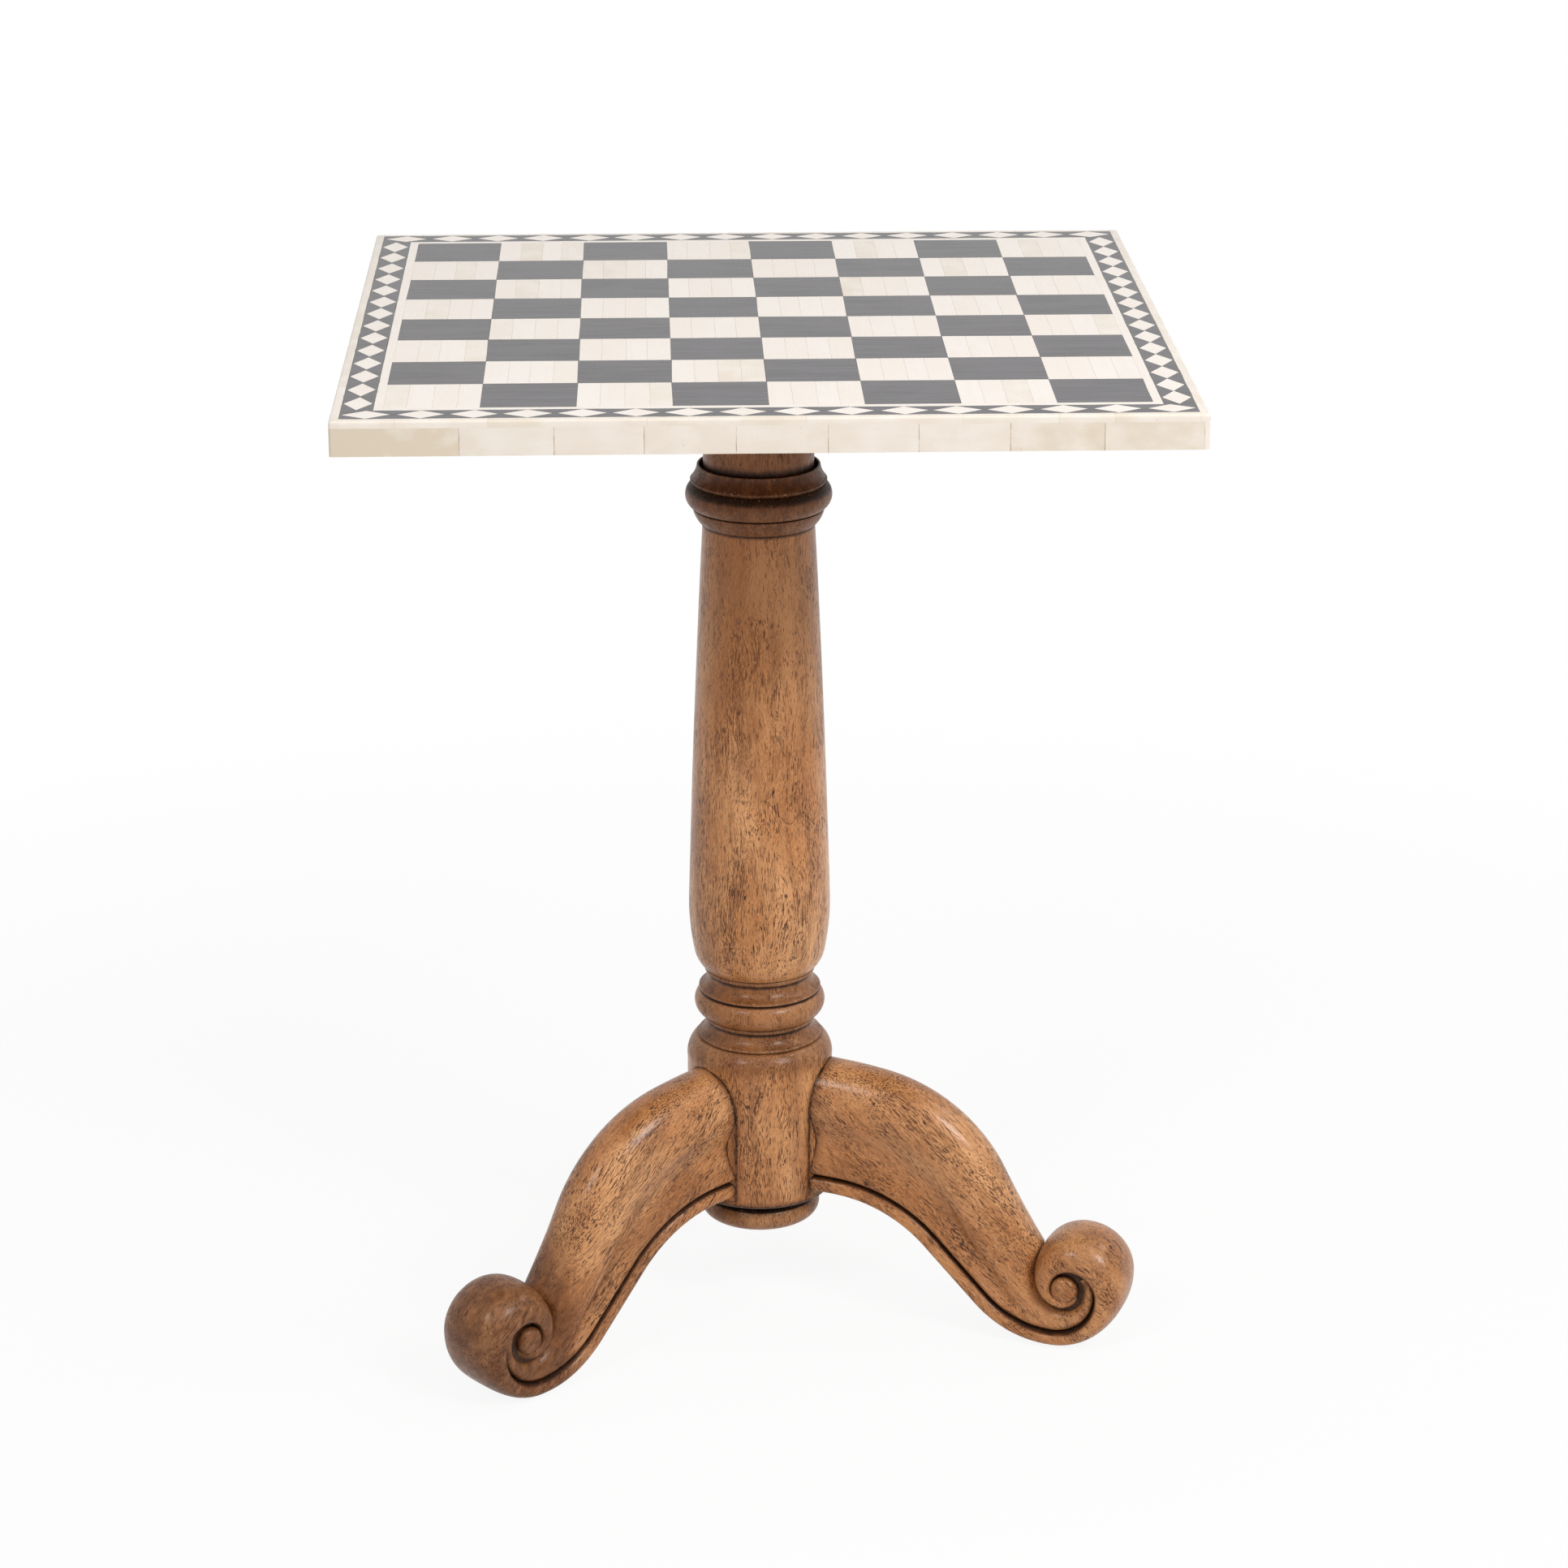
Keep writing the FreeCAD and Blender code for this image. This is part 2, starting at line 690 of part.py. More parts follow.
def make_tie_rod():
    """Rod from under the hub up into the tee nut, with its nut and washer in the hub's recess."""
    nut_z = recess_top_z - size("washer_thickness") - size("nut_height")
    rod_top = core_z - size("rod_end_gap")
    rod_foot = nut_z - size("rod_end_gap")
    rod = cylinder("tie_rod", size("rod_radius"), (ZERO, ZERO, rod_foot), rod_top - rod_foot)
    sub_part(rod, "tie_rod")
    thread = size("rod_radius") + size("thread_clearance")
    prism = doc.addObject("Part::Prism", "nut_blank")
    prism.Polygon = count("nut_sides")
    bind(prism, Circumradius=size("nut_across_corners_radius"), Height=size("nut_height"))
    bind(prism, Placement__Base__z=nut_z)
    nut_bore = cylinder("nut_bore", thread, (ZERO, ZERO, nut_z), size("nut_height"))
    sub_part(cut("rod_nut", prism, nut_bore), "rod_nut")
    washer_z = recess_top_z - size("washer_thickness")
    disc = cylinder("washer_blank", size("washer_radius"), (ZERO, ZERO, washer_z), size("washer_thickness"))
    washer_bore = cylinder("washer_bore", thread, (ZERO, ZERO, washer_z), size("washer_thickness"))
    sub_part(cut("rod_washer", disc, washer_bore), "rod_washer")
    flange_z = core_z - size("tee_flange_thickness")
    flange = cylinder("tee_flange", size("tee_flange_radius"), (ZERO, ZERO, flange_z),
                      size("tee_flange_thickness"))
    barrel = cylinder("tee_barrel", size("tee_barrel_radius"), (ZERO, ZERO, tee_foot_z),
                      size("tee_barrel_length"))
    tee_bore = cylinder("tee_bore", thread, (ZERO, ZERO, tee_foot_z), core_z - tee_foot_z)
    sub_part(cut("tee_nut", fuse("tee_blank", [flange, barrel]), tee_bore), "tee_nut")


# Turned column.

bore = size("rod_bore_radius")
capital_z = block_z - size("neck_length")
hub_foot_z = size("hub_foot_height")
shaft_foot_z = hub_foot_z + size("hub_height")
collar_bore = size("neck_radius") + size("collar_gap")
collar_rim = collar_bore + size("collar_rim_wall")
collar_lip = collar_rim + size("collar_flare")
collar_seat = collar_lip - size("collar_undercut")
lower_fillet = size("lower_cove_radius") + size("fillet_reach")


def make_neck():
    tenon = size("tenon_radius")
    radius = size("neck_radius")
    foot = capital_z - size("neck_foot_tenon")
    turned("column_neck", [(bore, foot), (tenon, foot), (tenon, capital_z), (radius, capital_z),
                           (radius, block_z), (tenon, block_z), (tenon, neck_head_z), (bore, neck_head_z)])


def along(start, end, shares):
    """A point between two (radius, height) points, at a share of the rise and of the change of radius."""
    rise, change = shares
    return start[0] + (end[0] - start[0]) * change, start[1] + (end[1] - start[1]) * rise


def make_collar():
    """Flared ring round the foot of the neck, standing clear of it."""
    rim = (collar_rim, capital_z + size("collar_height"))
    lip = (collar_lip, capital_z + size("collar_lip_height"))
    waist = along(lip, rim, COLLAR_WAIST_SHARES)
    turned("capital_collar", [(collar_bore, capital_z), (collar_seat, capital_z), lip, (*rim, *waist),
                              (collar_bore, rim[1])])


def bowed(start, end, radius):
    """Arc step to the end that passes the given radius half way up."""
    return (*end, radius, (start[1] + end[1]) / 2)


def cove(foot, head, throat):
    """Hollow arc step from a fillet's edge up to the cove's head, through its throat."""
    return (*head, throat, foot[1] + (head[1] - foot[1]) * COVE_THROAT_SHARE)


def make_shaft():
    """Capital, tapering shaft with its bulb, and the rings above the hub, turned from one length of wood."""
    tenon = size("tenon_radius")
    tenon_foot = shaft_foot_z - size("shaft_foot_tenon")
    edge = size("fillet_edge")
    low_edge = (lower_fillet, shaft_foot_z + edge)
    low_head = (size("lower_cove_radius"), low_edge[1] + size("lower_cove_height"))
    ring_foot_z = low_head[1] + size("lower_bead_height")
    low_bead = (size("lower_cove_radius"), ring_foot_z)
    upper_fillet = size("upper_cove_radius") + size("fillet_reach")
    ring_foot = (size("lower_cove_radius") + size("ring_foot_step"), ring_foot_z)
    ring_head = (upper_fillet - size("ring_head_step"), ring_foot_z + size("ring_height"))
    up_edge = (upper_fillet, ring_head[1] + edge)
    up_head = (size("upper_cove_radius"), up_edge[1] + size("upper_cove_height"))
    up_bead = (size("upper_cove_radius"), up_head[1] + size("upper_bead_height"))
    bulb_foot = (size("upper_cove_radius") + size("bulb_edge"), up_bead[1])
    bulb_top = (bulb_foot[0] + size("bulb_swell"), bulb_foot[1] + size("bulb_height"))
    groove_top = capital_z - size("capital_height")
    groove_foot = groove_top - size("capital_groove_width")
    groove_lip = collar_seat + size("capital_groove_lip")
    groove = groove_lip - size("capital_groove_depth")
    ogee_head = (groove + size("ogee_edge"), groove_foot)
    ogee_foot = (size("shaft_top_radius") + size("ogee_overhang"), groove_foot - size("ogee_height"))
    shaft_top = (size("shaft_top_radius"), ogee_foot[1])
    socket = tenon + fit
    socket_foot = capital_z - size("neck_foot_tenon") - size("tenon_end_gap")
    turned("column_shaft", [
        (bore, tenon_foot), (tenon, tenon_foot), (tenon, shaft_foot_z),
        (lower_fillet, shaft_foot_z), low_edge,
        cove(low_edge, low_head, size("lower_cove_radius") + size("cove_hollow")),
        bowed(low_head, low_bead, size("lower_cove_radius") + size("lower_bead_swell")),
        ring_foot, bowed(ring_foot, ring_head, ring_foot[0] + size("ring_swell")),
        (upper_fillet, ring_head[1]), up_edge,
        cove(up_edge, up_head, size("upper_cove_radius") + size("cove_hollow")),
        bowed(up_head, up_bead, size("upper_cove_radius") + size("bead_swell")),
        bulb_foot, (*bulb_top, *along(bulb_foot, bulb_top, BULB_SHOULDER_SHARES)),
        (*shaft_top, *along(bulb_top, shaft_top, SHAFT_MIDDLE_SHARES)),
        ogee_foot, (*ogee_head, *along(ogee_foot, ogee_head, OGEE_SHOULDER_SHARES)),
        (groove, groove_foot), (groove, groove_top), (groove_lip, groove_top),
        bowed((groove_lip, groove_top), (collar_seat, capital_z), collar_seat + size("capital_swell")),
        (socket, capital_z), (socket, socket_foot), (bore, socket_foot)])


def make_hub():
    """Hub with a socket for the shaft, a recess for the rod's nut and two dowel holes for each leg."""
    radius = size("hub_radius")
    socket = size("tenon_radius") + fit
    socket_foot = shaft_foot_z - size("shaft_foot_tenon") - size("tenon_end_gap")
    recess = size("hub_recess_radius")
    ease = size("hub_foot_rounding")
    shoulder_foot = (radius, shaft_foot_z - size("hub_shoulder_height"))
    shoulder_top = (lower_fillet + size("hub_ledge"), shaft_foot_z)
    body = turned("leg_hub", [
        (recess, hub_foot_z), (radius - ease, hub_foot_z), (radius, hub_foot_z + ease), shoulder_foot,
        (*shoulder_top, *upright_arc(shoulder_foot, shoulder_top)),
        (socket, shaft_foot_z), (socket, socket_foot), (bore, socket_foot),
        (bore, recess_top_z), (recess, recess_top_z)])
    for name in LEG_NAMES:
        drill_hub_for_dowels(body, name)
    return body


def drill_hub_for_dowels(body, name):
    """Two dowel holes, one above the other, facing one leg."""
    depth = size("dowel_length") / 2 + size("dowel_end_gap")
    floor = size("hub_radius") - depth
    turn = size(f"{name}_leg_angle")
    holes = new_sketch(body, f"hub_dowel_holes_{name}", "YZ_Plane")
    about_axis = FreeCAD.Rotation(FreeCAD.Vector(0, 1, 0), turn.value)
    holes.AttachmentOffset = FreeCAD.Placement(FreeCAD.Vector(), about_axis)
    holes.setExpression("AttachmentOffset.Base.x", f"({floor.text}) * sin({turn.text} * 1 deg)")
    holes.setExpression("AttachmentOffset.Base.z", f"({floor.text}) * cos({turn.text} * 1 deg)")
    hole_radius = size("dowel_radius") + fit
    rules = []
    bindings = []
    for index, height in enumerate(dowel_heights):
        centre = FreeCAD.Vector(0, height.value, 0)
        holes.addGeometry(Part.Circle(centre, FreeCAD.Vector(0, 0, 1), hole_radius.value), False)
        rules.append(Sketcher.Constraint("PointOnObject", index, 3, -2))
        for rule, value in ((("DistanceY", -1, 1, index, 3, height.value), height),
                            (("Radius", index, hole_radius.value), hole_radius)):
            bindings.append((len(rules), value.text))
            rules.append(Sketcher.Constraint(*rule))
    holes.addConstraint(rules)
    for index, text in bindings:
        holes.setExpression(f"Constraints[{index}]", text)
    doc.recompute()
    pocket = body.newObject("PartDesign::Pocket", f"hub_dowel_bores_{name}")
    pocket.Profile = holes
    pocket.Reversed = True
    bind(pocket, Length=depth + size("cut_overrun"))
    doc.recompute()
    body.Tip = pocket


def make_base_cap():
    """Turned cap whose spigot plugs the recess under the hub."""
    spigot = size("hub_recess_radius") - fit
    spigot_top = hub_foot_z + size("cap_spigot_length")
    neck = size("cap_neck_radius")
    head = (neck + size("cap_shoulder"), hub_foot_z - size("cap_neck_length"))
    foot = (neck + size("cap_foot_step"), head[1] - size("cap_height"))
    turned("base_cap", [(ZERO, foot[1]), foot, bowed(foot, head, head[0] + size("cap_swell")),
                        (neck, head[1]), (neck, hub_foot_z), (spigot, hub_foot_z),
                        (spigot, spigot_top), (ZERO, spigot_top)])


# Legs.

class Trail:
    """A run of tangent lines and arcs in the leg's upright plane, followed at an offset to its left."""

    def __init__(self, start, heading, offset=0.0):
        self.heading = math.radians(heading)
        self.point = FreeCAD.Vector(*start) + self.left() * offset
        self.offset = offset
        self.edges = []

    def ahead(self):
        return FreeCAD.Vector(math.cos(self.heading), 0, math.sin(self.heading))

    def left(self):
        return FreeCAD.Vector(-math.sin(self.heading), 0, math.cos(self.heading))

    def line(self, length):
        end = self.point + self.ahead() * length
        self.edges.append(Part.LineSegment(self.point, end).toShape())
        self.point = end
        return self

    def arc(self, radius, turn):
        """Turn left by a positive angle or right by a negative one. The radius is that of the trail."""
        side = 1 if turn > 0 else -1
        true_radius = radius - side * self.offset
        centre = self.point + self.left() * (side * true_radius)
        middle = self.turned_point(centre, math.radians(turn) / 2)
        end = self.turned_point(centre, math.radians(turn))
        self.edges.append(Part.Arc(self.point, middle, end).toShape())
        self.heading += math.radians(turn)
        self.point = end
        return self

    def turned_point(self, centre, angle):
        spoke = self.point - centre
        cosine = math.cos(angle)
        sine = math.sin(angle)
        x = spoke.x * cosine - spoke.z * sine
        z = spoke.x * sine + spoke.z * cosine
        return centre + FreeCAD.Vector(x, 0, z)


def value_of(alias):
    return float(sheet.get(alias))


quarter = value_of("quarter_turn")
heel_turn = value_of("root_dip") + value_of("belly_turn")


def descent():
    """Length of the straight stretch that brings the leg's underside down to the floor."""
    lead_drop = value_of("belly_lead") * math.sin(math.radians(value_of("root_dip")))
    belly_drop = value_of("belly_radius") * (math.cos(math.radians(value_of("root_dip")))
                                           - math.cos(math.radians(heel_turn)))
    instep_drop = value_of("instep_radius") * (1 - math.cos(math.radians(heel_turn)))
    drop = leg_foot_z.value - lead_drop - belly_drop - instep_drop
    return drop / math.sin(math.radians(heel_turn))


def root_point(height):
    """Start of an edge of the leg inside the hub, from its height at the hub's surface."""
    dip = math.radians(value_of("root_dip"))
    run_in = value_of("root_overrun")
    return value_of("hub_radius") - run_in * math.cos(dip), 0, height.value + run_in * math.sin(dip)


def underside(offset=0.0):
    """The leg's lower edge from inside the hub to where the foot stands."""
    trail = Trail(root_point(leg_foot_z), -value_of("root_dip"), offset)
    trail.line(value_of("root_overrun") + value_of("belly_lead"))
    trail.arc(value_of("belly_radius"), -value_of("belly_turn"))
    trail.line(descent())
    trail.arc(value_of("instep_radius"), heel_turn)
    return trail


def upperside(end_height):
    """The leg's upper edge from inside the hub down its back to a height within the scroll."""
    trail = Trail(root_point(leg_top_z), -value_of("root_dip"))
    trail.line(value_of("root_overrun"))
    trail.arc(value_of("crest_radius"), -value_of("crest_turn"))
    trail.arc(value_of("back_radius"), -value_of("back_turn"))
    trail.line((trail.point.z - end_height) / -math.sin(trail.heading))
    return trail


def extruded(edges, half_width):
    """Solid of a closed run of edges in the upright plane, extruded to both sides of it."""
    wire = Part.Wire(Part.__sortEdges__(edges))
    face = Part.Face(wire)
    face.translate(FreeCAD.Vector(0, -half_width, 0))
    return face.extrude(FreeCAD.Vector(0, 2 * half_width, 0))


def joined(start, end):
    return Part.LineSegment(start, end).toShape()


def side_edges(solid, half_width, wanted):
    """Edges of an extruded solid that lie on its side faces and pass the test on their middle point."""
    found = []
    for edge in solid.Edges:
        middle = edge.valueAt((edge.FirstParameter + edge.LastParameter) / 2)
        ends = [vertex.Point.y for vertex in edge.Vertexes]
        on_side = all(math.isclose(abs(y), half_width) for y in ends) and ends[0] * ends[-1] > 0
        if on_side and wanted(middle):
            found.append(edge)
    return found


def near_any(point, edges):
    flat = Part.Vertex(FreeCAD.Vector(point.x, 0, point.z))
    return any(flat.distToShape(edge)[0] < value_of("edge_match") for edge in edges)


def make_arm():
    """The leg's S-shaped arm, rounded along its back and eased along its band."""
    half_width = value_of("leg_half_width")
    lower = underside()
    upper = upperside(value_of("scroll_radius_back"))
    lower_start = lower.edges[0].Vertexes[0].Point
    upper_start = upper.edges[0].Vertexes[0].Point
    edges = lower.edges + upper.edges + [joined(lower_start, upper_start), joined(lower.point, upper.point)]
    arm = extruded(edges, half_width)
    back = side_edges(arm, half_width, lambda middle: near_any(middle, upper.edges))
    arm = arm.makeFillet(value_of("leg_rounding"), back)
    band = side_edges(arm, half_width, lambda middle: near_any(middle, lower.edges))
    return arm.makeFillet(value_of("band_rounding"), band)


def scroll_outline(offset=0.0):
    """The rolled-up foot from where it stands, up the front, over the top and down behind the roll."""
    heel = underside().point
    trail = Trail((heel.x, 0, heel.z), 0.0, offset)
    trail.arc(value_of("scroll_radius_heel"), quarter)
    trail.arc(value_of("scroll_radius_front"), quarter)
    trail.arc(value_of("scroll_radius_top"), quarter)
    return trail


def make_scroll():
    """Scroll wider than the arm, with its rim rounded to both sides and its inner end buried in the arm."""
    half_width = value_of("scroll_half_width")
    trail = scroll_outline()
    heel = trail.edges[0].Vertexes[0].Point
    turn_in = heel.x - trail.point.x
    trail.line(trail.point.z - turn_in)
    trail.arc(turn_in, quarter)
    scroll = extruded(trail.edges, half_width)
    rim = side_edges(scroll, half_width, lambda middle: near_any(middle, trail.edges))
    return scroll.makeFillet(value_of("scroll_rounding"), rim)


def channel(route):
    """Groove cutters, one for each face of the leg, that follow a route at half the groove's width."""
    half = value_of("groove_width") / 2
    near = route(half)
    far = route(-half)
    start = joined(near.edges[0].Vertexes[0].Point, far.edges[0].Vertexes[0].Point)
    wire = Part.Wire(Part.__sortEdges__(near.edges + far.edges + [start, joined(near.point, far.point)]))
    face = Part.Face(wire)
    floor = value_of("leg_half_width") - value_of("groove_depth")
    depth = value_of("scroll_half_width") + value_of("cut_overrun") - floor
    cutters = []
    for side in (-1, 1):
        shifted = face.translated(FreeCAD.Vector(0, side * floor, 0))
        cutters.append(shifted.extrude(FreeCAD.Vector(0, side * depth, 0)))
    return cutters


def band_groove(offset):
    """Line between the leg's side and its band, winding on round the scroll to the eye."""
    trail = underside(value_of("band_thickness") + offset)
    trail.offset = offset
    trail.arc(value_of("groove_radius_heel"), quarter)
    trail.arc(value_of("groove_radius_front"), quarter)
    trail.arc(value_of("groove_radius_top"), quarter)
    trail.arc(value_of("groove_radius_eye"), value_of("groove_eye_turn"))
    return trail


def coil_groove(offset):
    """Line that parts the inner coil from the leg, from the crotch to under the eye."""
    heel = underside().point
    start_turn = value_of("coil_start_turn")
    lead = Trail((heel.x, 0, heel.z), 0.0, offset)
    lead.arc(value_of("scroll_radius_heel"), quarter)
    lead.arc(value_of("scroll_radius_front"), quarter)
    lead.arc(value_of("scroll_radius_top"), start_turn)
    lead.edges = []
    lead.arc(value_of("scroll_radius_top"), quarter - start_turn)
    lead.arc(value_of("scroll_radius_back"), quarter)
    lead.arc(value_of("scroll_radius_inner"), value_of("coil_inner_turn"))
    return lead


def dowel_axis(height):
    return FreeCAD.Vector(value_of("hub_radius") - value_of("dowel_length") / 2, 0, height)


def make_leg_shape():
    leg = make_arm().fuse(make_scroll())
    for cutter in channel(band_groove) + channel(coil_groove):
        leg = leg.cut(cutter)
    seat = value_of("hub_radius") + value_of("leg_seat_clearance")
    hub_space = Part.makeCylinder(seat, value_of("table_height"))
    leg = leg.cut(hub_space)
    for height in dowel_heights:
        hole = Part.makeCylinder(value_of("dowel_radius") + value_of("fit_clearance"),
                                 value_of("dowel_length") + value_of("dowel_end_gap"),
                                 dowel_axis(height.value), FreeCAD.Vector(1, 0, 0))
        leg = leg.cut(hole)
    solid = max(leg.Solids, key=lambda piece: piece.Volume)
    return solid.removeSplitter()


def make_legs():
    shape = make_leg_shape()
    for name in LEG_NAMES:
        turn = value_of(f"{name}_leg_angle")
        leg = doc.addObject("Part::Feature", f"leg_{name}")
        leg.Shape = shape
        leg.Placement.Rotation = FreeCAD.Rotation(FreeCAD.Vector(0, 0, 1), turn)
        sub_part(leg, f"leg_{name}")
        pins = [Part.makeCylinder(value_of("dowel_radius"), value_of("dowel_length"),
                                  dowel_axis(height.value), FreeCAD.Vector(1, 0, 0))
                for height in dowel_heights]
        dowels = doc.addObject("Part::Feature", f"dowels_{name}")
        dowels.Shape = Part.Compound(pins)
        dowels.Placement.Rotation = FreeCAD.Rotation(FreeCAD.Vector(0, 0, 1), turn)
        sub_part(dowels, f"dowels_{name}")


core = make_core()
make_board()
for side in SIDES:
    make_inner_border(side)
    make_band(side)
    make_lozenges(side)
    make_outer_border(side)
    make_edge_tiles(side)
make_mounting_block()
make_screws()
drill_core_for_screws(core)
make_tie_rod()
make_neck()
make_collar()
make_shaft()
make_hub()
make_base_cap()
make_legs()
doc.recompute()

for obj in doc.Objects:
    if "Invalid" in obj.State or "Error" in obj.State:
        raise RuntimeError(f"{obj.Label} did not build: {obj.State}")
for obj in nodes:
    if obj.Shape.isNull() or not obj.Shape.isValid():
        raise RuntimeError(f"{obj.Label} has no valid shape")

os.makedirs("parts", exist_ok=True)
for obj in nodes:
    obj.Shape.exportStep(os.path.join("parts", obj.Label + ".step"))
    box_size = obj.Shape.optimalBoundingBox(True, False)
    print(f"{obj.Label}: {len(obj.Shape.Solids)} solids, {obj.Shape.Volume:.0f} mm3, "
          f"z {box_size.ZMin:.1f} to {box_size.ZMax:.1f}")
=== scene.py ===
import math
import random

import bmesh
import bpy
from mathutils import Matrix, Vector


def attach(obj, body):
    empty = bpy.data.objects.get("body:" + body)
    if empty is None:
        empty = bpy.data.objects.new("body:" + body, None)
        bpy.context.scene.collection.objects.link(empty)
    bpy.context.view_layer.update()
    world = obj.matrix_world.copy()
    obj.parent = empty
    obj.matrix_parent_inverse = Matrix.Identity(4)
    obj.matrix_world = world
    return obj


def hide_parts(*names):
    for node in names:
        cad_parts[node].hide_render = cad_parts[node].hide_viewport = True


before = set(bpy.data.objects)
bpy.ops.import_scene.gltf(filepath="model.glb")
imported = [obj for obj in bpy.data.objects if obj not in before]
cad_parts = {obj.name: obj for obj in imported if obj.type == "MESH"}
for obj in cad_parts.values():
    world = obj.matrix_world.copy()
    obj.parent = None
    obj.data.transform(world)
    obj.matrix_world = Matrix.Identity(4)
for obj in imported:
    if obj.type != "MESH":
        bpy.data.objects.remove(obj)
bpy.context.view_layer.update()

# Chess table: an inlaid top on a turned column with three scroll-footed legs.
# Meshes are modelled in millimetres and brought to metres when a piece is finished.

scene = bpy.context.scene
chance = random.Random(11)
MM = 0.001
GRAIN_SPREAD = 400


def held(value):
    """The value held between 0 and 1."""
    return max(0, min(1, value))


def smooth(share):
    """A share from 0 to 1, eased at both ends."""
    return share * share * (3 - 2 * share)


def stray(reach):
    """A small step to either side."""
    return chance.uniform(-reach, reach)


def grain_shift():
    """A step aside, so that no two pieces of wood show the same grain."""
    return Vector([chance.uniform(0, GRAIN_SPREAD) for _ in range(3)])


def srgb(red, green, blue):
    """A colour as it looks on screen, in the linear values that the shaders take."""
    linear = []
    for part in (red, green, blue):
        share = part / 255
        linear.append(share / 12.92 if share <= 0.04045 else ((share + 0.055) / 1.055) ** 2.4)
    return (*linear, 1)


# Shader expressions.

class Value:
    """An output socket that takes part in sums."""

    def __init__(self, finish, socket):
        self.finish = finish
        self.socket = socket

    def __add__(self, other):
        return self.finish.maths("ADD", self, other)

    def __sub__(self, other):
        return self.finish.maths("SUBTRACT", self, other)

    def __rsub__(self, other):
        return self.finish.maths("SUBTRACT", other, self)

    def __mul__(self, other):
        return self.finish.maths("MULTIPLY", self, other)

    __radd__ = __add__
    __rmul__ = __mul__


class Finish:
    """A material or a world, built node by node."""

    def __init__(self, owner):
        self.owner = owner
        owner.use_nodes = True
        self.tree = owner.node_tree
        self.tree.nodes.clear()

    @classmethod
    def called(cls, name):
        return cls(bpy.data.materials.new(name))

    def node(self, kind, settings=None, sockets=None, output=0):
        made = self.tree.nodes.new("ShaderNode" + kind)
        for key, value in (settings or {}).items():
            setattr(made, key, value)
        for key, value in (sockets or {}).items():
            if isinstance(value, Value):
                self.tree.links.new(value.socket, made.inputs[key])
            else:
                made.inputs[key].default_value = value
        return Value(self, made.outputs[output]) if made.outputs else made

    def maths(self, operation, *values):
        return self.node("Math", {"operation": operation}, dict(enumerate(values)))

    def attribute(self, name, output="Fac"):
        return self.node("Attribute", {"attribute_name": name}, output=output)

    def place(self):
        """Object coordinates in millimetres."""
        return self.scaled(self.node("TexCoord", output="Object"), (1 / MM,) * 3)

    def scaled(self, vector, factors):
        return self.node("VectorMath", {"operation": "MULTIPLY"}, {0: vector, 1: factors})

    def moved(self, vector, shift):
        return self.node("VectorMath", {"operation": "ADD"}, {0: vector, 1: shift})

    def split(self, vector):
        parts = self.node("SeparateXYZ", sockets={0: vector}).socket.node
        return [Value(self, socket) for socket in parts.outputs]

    def joined(self, x, y, z):
        return self.node("CombineXYZ", sockets={0: x, 1: y, 2: z})

    def stretched(self, vector, along, across, shift=None):
        """Coordinates drawn out along the grain, and moved aside where a shift is given."""
        drawn = self.scaled(vector, (along, across, across))
        return self.moved(drawn, shift) if shift else drawn

    def noise(self, vector, detail=2, roughness=0.5, distortion=0):
        return self.node("TexNoise", sockets={
            "Vector": vector, "Scale": 1, "Detail": detail, "Roughness": roughness,
            "Distortion": distortion})

    def figure(self, vector, along, across, shift=None, **options):
        """Noise drawn out along the grain."""
        return self.noise(self.stretched(vector, along, across, shift), **options)

    def cells(self, vector, output="Distance"):
        return self.node("TexVoronoi", sockets={"Vector": vector, "Scale": 1}, output=output)

    def strokes(self, vector, reach):
        """Short strokes of uneven depth, one to a cell of the stretched coordinates."""
        depth, _, _ = self.split(self.cells(vector, output="Color"))
        return (1 - self.ramp(self.cells(vector), reach - 0.16, reach + 0.06)) * (0.2 + 0.8 * depth)

    def ramp(self, value, low, high):
        """0 below the low value, 1 above the high one, eased between."""
        return self.node("MapRange", {"interpolation_type": "SMOOTHSTEP"}, {
            "Value": value, "From Min": low, "From Max": high})

    def most(self, first, second):
        return self.maths("MAXIMUM", first, second)

    def size_of(self, value):
        return self.maths("ABSOLUTE", value)

    def held(self, value):
        """The value held between 0 and 1."""
        return self.node("Math", {"operation": "ADD", "use_clamp": True}, {0: value, 1: 0})

    def layered(self, base, *coats):
        """A base colour under coats of other colours, each laid on by its own share."""
        colour = srgb(*base)
        for share, coat in coats:
            colour = self.node("Mix", {"data_type": "RGBA"},
                               {0: share, 6: colour, 7: srgb(*coat)}, output=2)
        return colour

    def surface(self, bump, bump_height, **sockets):
        """Principled surface. Bump height is in millimetres."""
        inputs = {key.replace("_", " "): value for key, value in sockets.items()}
        inputs["Normal"] = self.node("Bump", sockets={
            "Strength": 1, "Distance": bump_height * MM, "Height": bump})
        shader = self.node("BsdfPrincipled", sockets=inputs)
        self.node("OutputMaterial", sockets={"Surface": shader})
        return self.owner


# Marks on the column: heights in millimetres, and places round it in radians.
GROWTH_LINE_Z = 328
GROWTH_WAVES = ((4, -0.19, 0.01), (-15, 0.03, 0.44), (5.5, 0.44, 0.62), (-7.5, 0.65, 0.85))
COLLAR_CRACK = 0.31
COLLAR_FOOT = 513
COLLAR_HEAD = 525
# The colour grows warmer upwards between these two heights.
AMBER_FROM = 300
AMBER_FULL = 430
# How far the grain wanders aside, in millimetres.
GRAIN_SWAY = 18
PORE_SWAY = 2.2


